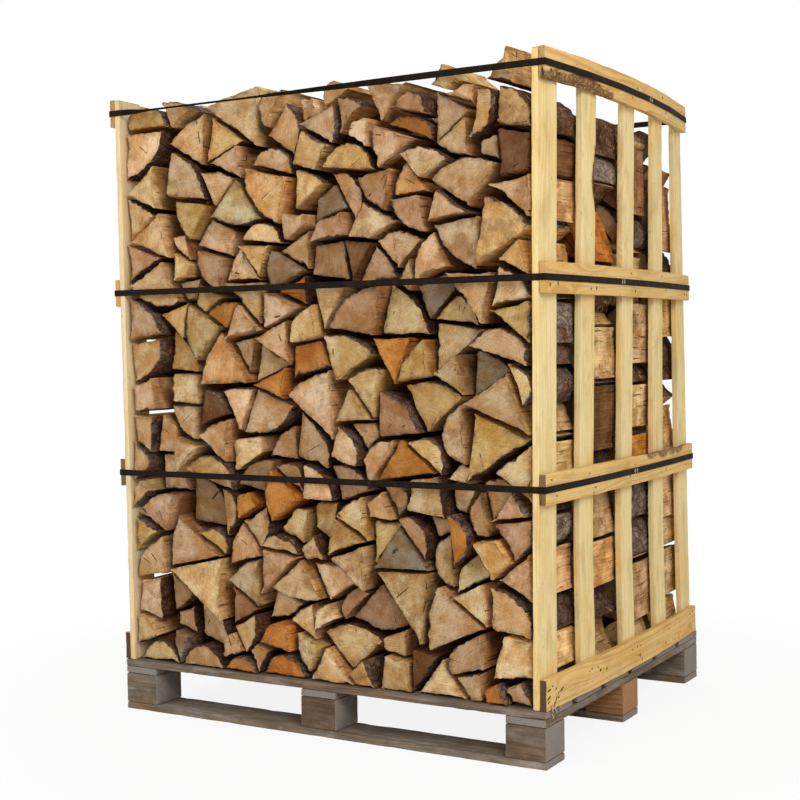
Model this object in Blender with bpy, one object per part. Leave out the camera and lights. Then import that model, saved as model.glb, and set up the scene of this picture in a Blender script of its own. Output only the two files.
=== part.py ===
"""Crate of split firewood: four rows of billets stacked between two slatted frames on a pallet,
held together by three bands.

Metres, +Z up.  The origin is the middle of the pallet's underside.  The billets lie along Y, so
their sawn ends face -Y (front) and +Y (back), and the slatted frames stand at -X and +X.
"""

import math
import random

import bmesh
import bpy
import numpy as np

# Driving dimensions
WIDTH = 1.200                # pallet and frames, left to right
DEPTH = 1.000                # pallet and frames, front to back
GAP = 0.0003                 # air between pieces that touch

# Pallet
PLANK = 0.018                # thickness of every pallet board
PLANK_WIDTH = 0.100          # width of the stringers, bottom boards and blocks
DECK_BOARDS = 6
DECK_BOARD_WIDTH = 0.145
BLOCK_HEIGHT = 0.076
DECK_TOP = 3 * PLANK + BLOCK_HEIGHT
NEW_BLOCK = "block_right_middle"

# Side frames
FRAME_TOP = 1.578
SLAT_THICKNESS = 0.016
SLAT_WIDTHS = (0.088, 0.080, 0.078, 0.078, 0.080)
SLAT_PLACES = (0.044, 0.250, 0.500, 0.740, 0.958)      # share of the depth, front to back
RAIL_THICKNESS = 0.0155
RAIL_HEIGHT = 0.070
RAIL_TOPS = (0.2005, 0.653, 1.117, FRAME_TOP)
NAILED_GAP = 0.0008          # air between slats and rails
INSIDE = WIDTH / 2 - RAIL_THICKNESS - SLAT_THICKNESS - NAILED_GAP      # half the room between the frames

# How the frames lean and belly out under the load
FRONT_LEAN = 0.0145          # outward at the top front corner
BACK_LEAN = -0.022           # and at the top back corner
BELLY = 0.032                # extra outward in the middle of the depth, at the top
FOOT_BELLY = 0.016           # and at the foot, where the boards are pushed over the pallet's edge
BELLY_START = 0.130
BELLY_RISE = 0.450
DEPTH_STATIONS = [i / 5 for i in range(6)]                # shares of the depth where a rail bends
RISE_SHARES = [i / 4 for i in range(5)]                   # shares of the belly's rise where a slat bends
HEIGHT_STATIONS = [BELLY_START + BELLY_RISE * share for share in RISE_SHARES]
UPPER_CUTS = (0.83, 1.08, 1.33)                           # heights that keep a slat's long faces even

# Bands
BAND_WIDTH = 0.015
BAND_THICKNESS = 0.001
BAND_SLACK = 0.0006          # air between a band and the rails

# Rows of billets
ROWS = 4
ROW_GAP = 0.004
SIDE_CLEARANCE = 0.0015
STACK_WIDTH = 2 * (INSIDE - SIDE_CLEARANCE)
STACK_FLOOR = DECK_TOP + GAP
ROW_SEEDS = (37, 12, 13, 14)
ROW_SIZES = (1.10, 1.25, 1.25, 1.50)     # how coarsely each row's wood is split
ROW_TOPS = (                 # height of each row's top: stations across, and the heights there
    ((-0.570, -0.500, -0.400, -0.325, -0.285, -0.245, -0.200, -0.160, -0.100, -0.060, 0.000, 0.080,
      0.116, 0.200, 0.300, 0.390, 0.425, 0.480, 0.570),
     (1.560, 1.559, 1.545, 1.560, 1.550, 1.525, 1.545, 1.554, 1.520, 1.522, 1.510, 1.510,
      1.530, 1.547, 1.515, 1.513, 1.508, 1.505, 1.510)),
    ((-0.57, 0.25, 0.57), (1.548, 1.533, 1.455)),
    ((-0.57, 0.25, 0.57), (1.548, 1.525, 1.490)),
    ((-0.57, 0.25, 0.57), (1.543, 1.515, 1.435)),
)
ROW_PEAKS = (                # billets laid last on each row, an edge up: place across, and height
    ((0.045, 1.577), (0.340, 1.578), (0.500, 1.600)), (), (), ())
LOOSE_PER_ROW = 3
END_MARGIN = 0.001           # least that a billet's end stands back from its row's face
END_SCATTER = 0.048          # and the most beyond that
END_BIAS = 1.4               # above 1, more ends stand near the face
FLUSH_ZONE = 0.02            # billets this close to a frame or the deck are set more nearly flush,
FLUSH_SHARE = 0.3            # with this share of the scatter
END_SLOPE = 0.08             # steepest saw cut
BAND_ROOM = 0.0165           # room behind the top band's front run, which is twisted edge-on
RECESS = 0.062               # how far in the rows' solid core stays behind the billets' ends
EMBED = 0.010                # how deep those ends run into the core
CORE_MARGIN = 0.026          # how far the core stays behind the outer billets' sides
CORE_SIDE_CUTS = (0.10, 0.20, 0.32, 0.44)                 # heights where the core's sides bend
RIDGE_STEP = 0.005           # least width of a step along the core's top
BED_MARGIN = 0.003           # air between the core and a loose billet that lies in it
LOOSE_SLACK = 0.0015         # how much slimmer a loose billet is all round, for room beside its neighbours

# Split shapes: sizes are for a coarseness of 1
SIZE_SPREAD = (0.62, 1.36, 0.88)         # least, greatest and commonest size
WEDGES = 0.40                # share of wedges that keep their rounded bark side
SHARDS = 0.38                # share with three flat sides
SLABS = 0.10                 # share of slabs; the rest are half rounds
WEDGE_ANGLES = (45, 100)
WEDGE_RADIUS = 0.112
WEDGE_NARROWING = 0.12       # wide wedges come from thinner logs
WIDE_ARC = 1.5               # a wedge wider than this, in radians, has one more facet of bark
SHARD_ANGLES = (42, 88)
SHARD_SIDE = 0.118
SHARD_SIDE_RATIOS = (0.72, 1.15)
SLAB_WIDTHS = (0.070, 0.105)
SLAB_HEIGHTS = (0.055, 0.080)
SLAB_TAPERS = (0.35, 0.85)
SLAB_SHIFT = 0.2
SLAB_SKEW = 0.012
SLAB_LEAN = (0.75, 1.2)
HALF_ROUND_RADIUS = 0.066
HALF_ROUND_ANGLES = (145, 180)
HALF_ROUND_FACETS = 4

# Stacking
COLUMN = 0.004               # width of a column of the height field that the billets land on
FINE = 4                     # samples of an outline in each column
SHAPES = 70                  # outlines to choose from
TURNS = 14                   # ways up for each
TRIES = 700                  # of them tried for each place
FULL = 0.03                  # a column this close under the row's top takes no more
OVERSHOOT = 0.02             # most that a billet rises over the row's top
SLIT = 0.045                 # a gap beside the frame narrower than this can't be filled
LIFT = 0.001                 # air left over each billet as the next one lands
CREST_COST = 3.5             # what a place costs by how high the billet rises there
SLIT_COST = 5
SIZE_GAIN = 16
PEAK_COST = 40               # what a peak's place costs by how far it misses its height
PEAK_TIP = 0.02              # depth below its top where a peak's bluntness is measured
BLUNT_COST = 14
LUCK = 0.05
TURN_COST = 0.05             # what each earlier use of this outline this way up costs
SHAPE_COST = 0.03            # and each use of it any way up
CONTACT = 0.0015             # air between billets
NEIGHBOURHOOD = 0.22         # no two billets further apart than this touch
SHRINK = 0.985
GROWTH = (0.012, 0.008, 0.005, 0.003, 0.0015)             # how far a corner may move out, longest first
GROWTH_ROUNDS = 2

# Marks in the height field, far beyond any height in metres
WALL = 50.0
EMPTY = 99.0
CLOSED = 9.0
REFUSED = 1000.0


def outward(y, z):
    """How far the frames and what they hold are pushed out sideways at depth y and height z.

    It is straight between the stations, so that pieces that bend there stay face to face.
    """
    back = y / DEPTH + 0.5
    lift = z / FRAME_TOP
    across = np.interp(back, DEPTH_STATIONS, [4 * s * (1 - s) for s in DEPTH_STATIONS])
    rise = np.interp(z, HEIGHT_STATIONS, [s * s * (3 - 2 * s) for s in RISE_SHARES])
    belly = BELLY * lift * rise + FOOT_BELLY * (1 - rise)
    return lift * (FRONT_LEAN * (1 - back) + BACK_LEAN * back) + belly * across


def clear_scene():
    for thing in list(bpy.data.objects):
        bpy.data.objects.remove(thing, do_unlink=True)


def wood(name, colour, roughness=0.8):
    material = bpy.data.materials.new(name)
    material.use_nodes = True
    shader = material.node_tree.nodes["Principled BSDF"]
    shader.inputs["Base Color"].default_value = (*colour, 1.0)
    shader.inputs["Roughness"].default_value = roughness
    shader.inputs["Metallic"].default_value = 0.0
    return material


def place(name, mesh, material):
    piece = bpy.data.objects.new(name, mesh)
    piece.data.materials.append(material)
    bpy.context.scene.collection.objects.link(piece)
    return piece


def mesh_from(bm, name):
    bmesh.ops.recalc_face_normals(bm, faces=bm.faces[:])
    mesh = bpy.data.meshes.new(name)
    bm.to_mesh(mesh)
    bm.free()
    return mesh


# ---------------------------------------------------------------- boards

def board(name, low, high, material, cut_axis=None, cuts=(), side=0):
    """Box from corner low to corner high; with side -1 or 1 it follows the frames' lean and belly."""
    bm = bmesh.new()
    bmesh.ops.create_cube(bm, size=1.0)
    for vertex in bm.verts:
        for axis in range(3):
            vertex.co[axis] = high[axis] if vertex.co[axis] > 0 else low[axis]
    for value in cuts:
        point = [0.0, 0.0, 0.0]
        normal = [0.0, 0.0, 0.0]
        point[cut_axis] = value
        normal[cut_axis] = 1.0
        geometry = bm.verts[:] + bm.edges[:] + bm.faces[:]
        bmesh.ops.bisect_plane(bm, geom=geometry, plane_co=point, plane_no=normal)
    for vertex in bm.verts:
        vertex.co.x += side * outward(vertex.co.y, vertex.co.z)
    return place(name, mesh_from(bm, name), material)


def pallet(weathered, fresh):
    half_x = WIDTH / 2
    half_y = DEPTH / 2
    block_bottom = PLANK
    stringer_bottom = block_bottom + BLOCK_HEIGHT
    deck_bottom = stringer_bottom + PLANK
    columns = (("left", -half_x), ("centre", -PLANK_WIDTH / 2), ("right", half_x - PLANK_WIDTH))
    ranks = (("front", -half_y), ("middle", -PLANK_WIDTH / 2), ("back", half_y - PLANK_WIDTH))

    pitch = (DEPTH - DECK_BOARD_WIDTH) / (DECK_BOARDS - 1)
    for i in range(DECK_BOARDS):
        y = -half_y + i * pitch
        board(f"deck_board_{i + 1}", (-half_x, y, deck_bottom + GAP),
              (half_x, y + DECK_BOARD_WIDTH, DECK_TOP), weathered)
    for column, x in columns:
        board(f"stringer_{column}", (x, -half_y, stringer_bottom + GAP),
              (x + PLANK_WIDTH, half_y, deck_bottom), weathered)
    for rank, y in ranks:
        board(f"bottom_board_{rank}", (-half_x, y, 0.0), (half_x, y + PLANK_WIDTH, PLANK), weathered)
        for column, x in columns:
            name = f"block_{column}_{rank}"
            board(name, (x, y, block_bottom + GAP), (x + PLANK_WIDTH, y + PLANK_WIDTH, stringer_bottom),
                  fresh if name == NEW_BLOCK else weathered)


def side_frames(pale, tan):
    slat_cuts = HEIGHT_STATIONS[1:] + list(UPPER_CUTS)
    rail_cuts = [DEPTH * (share - 0.5) for share in DEPTH_STATIONS[1:-1]]
    for word, side in (("left", -1), ("right", 1)):
        for i, (share, width) in enumerate(zip(SLAT_PLACES, SLAT_WIDTHS)):
            y = DEPTH * (share - 0.5)
            faces = sorted((side * INSIDE, side * (INSIDE + SLAT_THICKNESS)))
            board(f"{word}_slat_{i + 1}", (faces[0], y - width / 2, DECK_TOP + GAP),
                  (faces[1], y + width / 2, FRAME_TOP - 0.002), pale, 2, slat_cuts, side)
        for i, top in enumerate(RAIL_TOPS):
            faces = sorted((side * (WIDTH / 2 - RAIL_THICKNESS), side * WIDTH / 2))
            board(f"{word}_rail_{i + 1}", (faces[0], -DEPTH / 2, top - RAIL_HEIGHT),
                  (faces[1], DEPTH / 2, top), tan, 1, rail_cuts, side)


# ---------------------------------------------------------------- bands

def band_ring(z, clearance):
    """Closed loop around the frames' outer faces at height z, clearance away from them."""
    half = DEPTH / 2
    step = clearance * math.sqrt(0.5)
    ys = [DEPTH * (share - 0.5) for share in DEPTH_STATIONS]
    right = [(WIDTH / 2 + outward(y, z) + clearance, y) for y in ys]
    front = right[0][0] - clearance
    back = right[-1][0] - clearance
    right = ([(front, -half - clearance), (front + step, -half - step)] + right
             + [(back + step, half + step), (back, half + clearance)])
    return right + [(-x, y) for x, y in reversed(right)]


def band(name, z, material):
    bm = bmesh.new()
    loops = []
    for clearance in (BAND_SLACK, BAND_SLACK + BAND_THICKNESS):
        for height in (z - BAND_WIDTH / 2, z + BAND_WIDTH / 2):
            loops.append([bm.verts.new((x, y, height)) for x, y in band_ring(height, clearance)])
    inner_low, inner_high, outer_low, outer_high = loops
    around = (inner_low, inner_high, outer_high, outer_low)
    for i in range(len(inner_low)):
        j = (i + 1) % len(inner_low)
        for a, b in zip(around, around[1:] + around[:1]):
            bm.faces.new((a[i], b[i], b[j], a[j]))
    return place(name, mesh_from(bm, name), material)


# ---------------------------------------------------------------- billet outlines and their stacking

def arc(radius, angle, parts):
    angles = [angle * (i / parts - 0.5) for i in range(parts + 1)]
    return [(radius * math.cos(a), radius * math.sin(a)) for a in angles]


def billet(rng, coarseness):
    """Outline of one split billet, anticlockwise."""
    kind = rng.random()
    size = coarseness * rng.triangular(*SIZE_SPREAD)
    if kind < WEDGES:
        angle = math.radians(rng.uniform(*WEDGE_ANGLES))
        radius = size * WEDGE_RADIUS * (1 + WEDGE_NARROWING * (1 - angle))
        return [(0.0, 0.0)] + arc(radius, angle, 2 if angle < WIDE_ARC else 3)
    if kind < WEDGES + SHARDS:
        angle = math.radians(rng.uniform(*SHARD_ANGLES))
        long = size * SHARD_SIDE
        short = long * rng.uniform(*SHARD_SIDE_RATIOS)
        return [(0.0, 0.0), (long * math.cos(angle / 2), -long * math.sin(angle / 2)),
                (short * math.cos(angle / 2), short * math.sin(angle / 2))]
    if kind < WEDGES + SHARDS + SLABS:
        width = size * rng.uniform(*SLAB_WIDTHS)
        height = size * rng.uniform(*SLAB_HEIGHTS)
        taper = rng.uniform(*SLAB_TAPERS)
        shift = rng.uniform(-SLAB_SHIFT, SLAB_SHIFT) * width
        return [(-width / 2, 0.0), (width / 2, rng.uniform(-SLAB_SKEW, SLAB_SKEW)),
                (width * taper / 2 + shift, height),
                (-width * taper / 2 + shift, height * rng.uniform(*SLAB_LEAN))]
    angle = math.radians(rng.uniform(*HALF_ROUND_ANGLES))
    return arc(size * HALF_ROUND_RADIUS, angle, HALF_ROUND_FACETS)


def turned(outline, angle):
    c = math.cos(angle)
    s = math.sin(angle)
    return [(x * c - z * s, x * s + z * c) for x, z in outline]


def area(outline):
    pairs = zip(outline, outline[1:] + outline[:1])
    return sum(ax * bz - bx * az for (ax, az), (bx, bz) in pairs) / 2


def profile(outline):
    """Underside and top of a convex outline in each column it covers, and the first column's left."""
    left = min(x for x, _ in outline)
    width = max(x for x, _ in outline) - left
    count = math.ceil(width / COLUMN) + 1
    left -= (count * COLUMN - width) / 2
    first = outline.index(min(outline))
    ring = outline[first:] + outline[:first]
    last = ring.index(max(ring))
    lower = ring[:last + 1]
    upper = ([ring[0]] + ring[:last - 1:-1])
    xs = left + np.arange(count * FINE + 1) * COLUMN / FINE
    under = np.interp(xs, [x for x, _ in lower], [z for _, z in lower])
    over = np.interp(xs, [x for x, _ in upper], [z for _, z in upper])
    windows = [slice(i, i + count * FINE, FINE) for i in range(FINE + 1)]
    return np.min([under[w] for w in windows], axis=0), np.max([over[w] for w in windows], axis=0), left


def stack(seed, coarseness, tops, peaks):
    """Drops billets on the lowest place until the row is full, and then one at each peak.

    Gives the outlines in the order they land, and for each the billets on top just before it lands.
    """
    rng = random.Random(seed)
    outlines = []
    for _ in range(SHAPES):
        shape = billet(rng, coarseness)
        outlines += [turned(shape, 2 * math.pi * (k + rng.random()) / TURNS) for k in range(TURNS)]
    profiles = [profile(outline) for outline in outlines]
    sizes = np.array([area(outline) for outline in outlines])
    counts = np.array([len(under) for under, _, _ in profiles])
    crests = np.array([over.max() for _, over, _ in profiles])
    span = counts.max()
    unders = np.full((len(outlines), span), EMPTY)
    for row, (under, _, _) in zip(unders, profiles):
        row[:len(under)] = under

    columns = int(STACK_WIDTH / COLUMN)
    goal = np.interp((np.arange(columns) + 0.5) * COLUMN - STACK_WIDTH / 2, *tops) - STACK_FLOOR
    ground = np.concatenate([np.zeros(columns), np.full(span, WALL)])
    full = np.zeros(columns, bool)
    uses = np.zeros(len(outlines))
    owner = np.full(columns, -1)
    placed = []
    topmost = []

    def lay(choice, start, rest):
        _, over, offset = profiles[choice]
        covered = slice(start, start + len(over))
        ground[covered] = rest + over + LIFT
        topmost.append(set(owner.tolist()))
        owner[covered] = len(placed)
        shift = start * COLUMN - offset
        placed.append([(x + shift, z + rest) for x, z in outlines[choice]])

    while True:
        heights = np.where(full | (ground[:columns] > goal - FULL), CLOSED, ground[:columns])
        column = int(heights.argmin())
        if heights[column] == CLOSED:
            break
        picks = np.array(rng.sample(range(len(outlines)), TRIES))
        starts = np.arange(max(0, column - span + 1), column + 1)
        beneath = np.lib.stride_tricks.sliding_window_view(ground, span)[starts]
        undersides = unders[picks][:, None, :]
        room = beneath[None] - undersides
        rests = room.max(axis=2)
        hollow = np.where(undersides < EMPTY, rests[:, :, None] - room, 0).sum(axis=2) * COLUMN
        ends = starts[None] + counts[picks][:, None]
        crest = rests + crests[picks][:, None]
        slits = 0
        for slit in (starts[None] * COLUMN, (columns - ends) * COLUMN):
            slits = slits + np.where((slit > 0) & (slit < SLIT), slit, 0)
        luck = np.array([rng.random() for _ in picks])
        size = sizes[picks][:, None]
        cost = hollow / size + CREST_COST * (crest - ground[column]) + SLIT_COST * slits - SIZE_GAIN * size
        cost += (uses[picks] + LUCK * luck)[:, None]
        cost[(ends > columns) | (ends <= column) | (crest > goal[column] + OVERSHOOT)] = REFUSED
        best, start = divmod(int(cost.argmin()), len(starts))
        if cost[best, start] == REFUSED:
            full[column] = True
            continue
        choice = picks[best]
        lay(choice, int(starts[start]), rests[best, start])
        uses[choice] += TURN_COST
        family = choice // TURNS * TURNS
        uses[family:family + TURNS] += SHAPE_COST

    for across, height in peaks:
        places = []
        for choice, (under, over, _) in enumerate(profiles):
            start = int((across + STACK_WIDTH / 2) / COLUMN) - int(over.argmax())
            if 0 <= start <= columns - len(under):
                room = ground[start:start + len(under)] - under
                rest = room.max()
                miss = abs(rest + crests[choice] + STACK_FLOOR - height)
                blunt = (over > crests[choice] - PEAK_TIP).sum() * COLUMN
                cost = (rest - room).sum() * COLUMN / sizes[choice] + PEAK_COST * miss + BLUNT_COST * blunt
                places.append((cost, choice, start, rest))
        _, choice, start, rest = min(places)
        lay(choice, start, rest)
    return placed, topmost


def apart(a, b):
    """True where a line along one of a's sides keeps outline b off it."""
    for (ax, az), (bx, bz) in zip(a, a[1:] + a[:1]):
        length = math.hypot(bx - ax, bz - az)
        if min((x - ax) * (bz - az) + (z - az) * (ax - bx) for x, z in b) >= CONTACT * length:
            return True
    return False


def convex(outline):
    for i in range(len(outline)):
        (ax, az), (bx, bz), (cx, cz) = outline[i - 2], outline[i - 1], outline[i]
        if (bx - ax) * (cz - bz) - (bz - az) * (cx - bx) <= 1e-6:
            return False
    return True


def centre(outline):
    return sum(x for x, _ in outline) / len(outline), sum(z for _, z in outline) / len(outline)


def settle(outlines, seed, tops):
    """Moves corners out into the hollows until the billets lie close against each other."""
    rng = random.Random(seed)
    middles = [centre(outline) for outline in outlines]
    near = [[j for j, other in enumerate(middles) if j != i and math.dist(middle, other) < NEIGHBOURHOOD]
            for i, middle in enumerate(middles)]

    def clear(outline, i):
        return all(apart(outline, outlines[j]) or apart(outlines[j], outline) for j in near[i])

    for i, (mx, mz) in enumerate(middles):
        while not clear(outlines[i], i):
            outlines[i] = [(mx + (x - mx) * SHRINK, mz + (z - mz) * SHRINK) for x, z in outlines[i]]
    crests = [max(max(z for _, z in outline), np.interp(x - STACK_WIDTH / 2, *tops) - STACK_FLOOR)
              for outline, (x, _) in zip(outlines, middles)]
    for _ in range(GROWTH_ROUNDS):
        order = list(range(len(outlines)))
        rng.shuffle(order)
        for i in order:
            for corner in range(len(outlines[i])):
                x, z = outlines[i][corner]
                away = math.dist((x, z), middles[i])
                for step in GROWTH:
                    moved = (x + (x - middles[i][0]) / away * step, z + (z - middles[i][1]) / away * step)
                    trial = outlines[i][:corner] + [moved] + outlines[i][corner + 1:]
                    inside = 0 <= moved[0] <= STACK_WIDTH and 0 <= moved[1] <= crests[i]
                    if inside and convex(trial) and clear(trial, i):
                        outlines[i] = trial
                        break
    return outlines


# ---------------------------------------------------------------- rows of billets

def prism(bm, outline, front, back):
    """Adds the outline drawn out along Y; front and back give how far each end reaches and its slopes."""
    rings = []
    for (reach, slope_x, slope_z), furthest in ((front, min), (back, max)):
        offsets = [slope_x * x + slope_z * z for x, z in outline]
        start = reach - furthest(offsets)
        rings.append([bm.verts.new((x, start + offset, z)) for (x, z), offset in zip(outline, offsets)])
    bm.faces.new(rings[0])
    bm.faces.new(rings[1][::-1])
    for i in range(len(outline)):
        j = (i + 1) % len(outline)
        bm.faces.new((rings[0][i], rings[1][i], rings[1][j], rings[0][j]))


def widened(outline, margin):
    """The outline with every side moved outward by margin."""
    corners = []
    for i, (x, z) in enumerate(outline):
        before = outline[i - 1]
        after = outline[(i + 1) % len(outline)]
        first = math.atan2(x - before[0], z - before[1])
        turn = (math.atan2(after[0] - x, after[1] - z) - first + math.pi) % (2 * math.pi) - math.pi
        reach = margin / math.cos(turn / 2)
        facing = first + turn / 2
        corners.append((x + reach * math.cos(facing), z - reach * math.sin(facing)))
    return corners


def cut_or_join(piece, bm, operation):
    """Applies a Boolean with the shapes in bm to the piece's mesh."""
    other = place("tool", mesh_from(bm, "tool"), piece.data.materials[0])
    modifier = piece.modifiers.new(operation, "BOOLEAN")
    modifier.operation = operation
    modifier.object = other
    modifier.solver = "EXACT"
    evaluated = piece.evaluated_get(bpy.context.evaluated_depsgraph_get())
    mesh = bpy.data.meshes.new_from_object(evaluated)
    piece.modifiers.remove(modifier)
    piece.data = mesh
    bpy.data.objects.remove(other)


def spread(mesh):
    """Shifts a row out of its own square frame into the crate, with the frames' lean and belly."""
    for vertex in mesh.vertices:
        x, y, z = vertex.co
        z += STACK_FLOOR
        x -= STACK_WIDTH / 2
        vertex.co = (x * (1 + outward(y, z) / INSIDE), y, z)


def core_outline(tops):
    """Section of a row's core: square below, its top through the middles of the topmost billets."""
    ridge = []
    for x, z in sorted(centre(outline) for outline in tops):
        x = max(x, ridge[-1][0] + RIDGE_STEP if ridge else CORE_MARGIN + RIDGE_STEP)
        ridge.append((min(x, STACK_WIDTH - CORE_MARGIN - RIDGE_STEP), z))
    left = CORE_MARGIN
    right = STACK_WIDTH - CORE_MARGIN
    return ([(left, 0.0), (right, 0.0)] + [(right, z) for z in CORE_SIDE_CUTS] + [(right, ridge[-1][1])]
            + ridge[::-1] + [(left, ridge[0][1])] + [(left, z) for z in CORE_SIDE_CUTS[::-1]])


def row(number, bark):
    """A row of billets joined in a single solid, and its topmost loose billets as solids of their own."""
    rng = random.Random(ROW_SEEDS[number])
    outlines, topmost = stack(ROW_SEEDS[number], ROW_SIZES[number], ROW_TOPS[number], ROW_PEAKS[number])
    outlines = settle(outlines, ROW_SEEDS[number], ROW_TOPS[number])
    loose = range(len(outlines) - LOOSE_PER_ROW, len(outlines))
    under_loose = topmost[loose[0]]
    front = DEPTH * (number / ROWS - 0.5) + (0 if number == 0 else ROW_GAP / 2)
    back = DEPTH * ((number + 1) / ROWS - 0.5) - (0 if number == ROWS - 1 else ROW_GAP / 2)
    band_foot = FRAME_TOP - RAIL_HEIGHT / 2 - BAND_WIDTH - STACK_FLOOR

    def cut_end(face, inward, scatter, least=0.0):
        back = max(least, END_MARGIN + scatter * rng.random() ** END_BIAS)
        return face + inward * back, END_SLOPE * rng.uniform(-1, 1), END_SLOPE * rng.uniform(-1, 1)

    ends = bmesh.new()
    beds = bmesh.new()
    for i, outline in enumerate(outlines):
        xs, zs = zip(*outline)
        at_edge = min(min(xs), STACK_WIDTH - max(xs), min(zs)) < FLUSH_ZONE
        scatter = END_SCATTER * (FLUSH_SHARE if at_edge else 1.0)
        front_cut = cut_end(front, 1, scatter, BAND_ROOM if number == 0 and max(zs) > band_foot else 0.0)
        back_cut = cut_end(back, -1, scatter)
        if i in loose:
            prism(beds, widened(outline, BED_MARGIN), (front - RECESS, 0, 0), (back + RECESS, 0, 0))
            single = bmesh.new()
            prism(single, widened(outline, -LOOSE_SLACK), front_cut, back_cut)
            mesh = mesh_from(single, "billet")
            spread(mesh)
            place(f"loose_billet_{number * LOOSE_PER_ROW + i - loose[0] + 1}", mesh, bark)
            continue
        if min(xs) < CORE_MARGIN or max(xs) > STACK_WIDTH - CORE_MARGIN or i in under_loose:
            prism(ends, outline, front_cut, back_cut)
        elif number == 0:
            prism(ends, outline, front_cut, (front + RECESS + EMBED, 0, 0))
        elif number == ROWS - 1:
            prism(ends, outline, (back - RECESS - EMBED, 0, 0), back_cut)

    core = bmesh.new()
    core_front = front + RECESS if number == 0 else front
    core_back = back - RECESS if number == ROWS - 1 else back
    tops = [outlines[i] for i in under_loose]
    prism(core, core_outline(tops), (core_front, 0, 0), (core_back, 0, 0))
    piece = place(f"billet_row_{number + 1}", mesh_from(core, "core"), bark)
    cut_or_join(piece, beds, "DIFFERENCE")
    cut_or_join(piece, ends, "UNION")
    spread(piece.data)


def main():
    clear_scene()
    weathered = wood("weathered_board", (0.30, 0.24, 0.18), 0.85)
    fresh = wood("new_block", (0.45, 0.22, 0.09), 0.85)
    pale = wood("pale_pine", (0.78, 0.62, 0.33), 0.70)
    tan = wood("tan_pine", (0.62, 0.42, 0.17), 0.70)
    split = wood("split_wood", (0.50, 0.31, 0.15), 0.90)
    plastic = wood("black_plastic", (0.025, 0.018, 0.015), 0.40)
    pallet(weathered, fresh)
    side_frames(pale, tan)
    for name, top in zip(("band_bottom", "band_middle", "band_top"), RAIL_TOPS[1:]):
        band(name, top - RAIL_HEIGHT / 2, plastic)
    for number in range(ROWS):
        row(number, split)


main()
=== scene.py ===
"""Looks of a crate of split firewood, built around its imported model.

Every billet of the CAD model is made again with its saw cuts, torn split faces and bark, and every board
with its saw marks, worn edges and knots.  Metres, +Z up.
"""

import math
import random

import bpy
import numpy as np
from mathutils import Matrix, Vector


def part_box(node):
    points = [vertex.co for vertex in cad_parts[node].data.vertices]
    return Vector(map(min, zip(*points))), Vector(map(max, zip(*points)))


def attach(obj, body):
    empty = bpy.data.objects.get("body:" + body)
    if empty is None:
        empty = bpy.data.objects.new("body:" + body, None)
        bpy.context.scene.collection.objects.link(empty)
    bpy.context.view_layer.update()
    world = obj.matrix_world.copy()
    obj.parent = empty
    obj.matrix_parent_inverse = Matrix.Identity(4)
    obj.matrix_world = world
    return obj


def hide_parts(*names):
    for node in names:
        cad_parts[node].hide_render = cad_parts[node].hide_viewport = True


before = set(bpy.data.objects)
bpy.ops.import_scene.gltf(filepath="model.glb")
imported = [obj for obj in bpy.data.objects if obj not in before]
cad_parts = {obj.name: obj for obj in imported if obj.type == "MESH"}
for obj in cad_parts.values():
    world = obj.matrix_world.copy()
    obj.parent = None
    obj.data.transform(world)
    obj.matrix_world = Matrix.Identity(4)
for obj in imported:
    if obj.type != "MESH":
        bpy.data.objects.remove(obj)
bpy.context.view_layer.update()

# ---------------------------------------------------------------- dimensions of the CAD model

WIDTH = 1.200                # pallet and frames, left to right
DEPTH = 1.000                # pallet and frames, front to back
GAP = 0.0003                 # air between pieces that touch
PLANK = 0.018                # thickness of every pallet board
BLOCK_HEIGHT = 0.076
DECK_TOP = 3 * PLANK + BLOCK_HEIGHT

# Side frames
FRAME_TOP = 1.578
SLAT_THICKNESS = 0.016
SLAT_WIDTHS = (0.088, 0.080, 0.078, 0.078, 0.080)
SLAT_PLACES = (0.044, 0.250, 0.500, 0.740, 0.958)      # share of the depth, front to back
RAIL_THICKNESS = 0.0155
RAIL_HEIGHT = 0.070
RAIL_TOPS = (0.2005, 0.653, 1.117, FRAME_TOP)
NAILED_GAP = 0.0008          # air between slats and rails
INSIDE = WIDTH / 2 - RAIL_THICKNESS - SLAT_THICKNESS - NAILED_GAP      # half the room between the frames

# How the frames lean and belly out under the load
FRONT_LEAN = 0.0145          # outward at the top front corner
BACK_LEAN = -0.022           # and at the top back corner
BELLY = 0.032                # extra outward in the middle of the depth, at the top
FOOT_BELLY = 0.016           # and at the foot, where the boards are pushed over the pallet's edge
BELLY_START = 0.130
BELLY_RISE = 0.450
DEPTH_STATIONS = [i / 5 for i in range(6)]                # shares of the depth where a rail bends
RISE_SHARES = [i / 4 for i in range(5)]                   # shares of the belly's rise where a slat bends
HEIGHT_STATIONS = [BELLY_START + BELLY_RISE * share for share in RISE_SHARES]

# Bands
BAND_WIDTH = 0.015
BAND_THICKNESS = 0.001
BAND_SLACK = 0.0006          # air between a band and the rails

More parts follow.
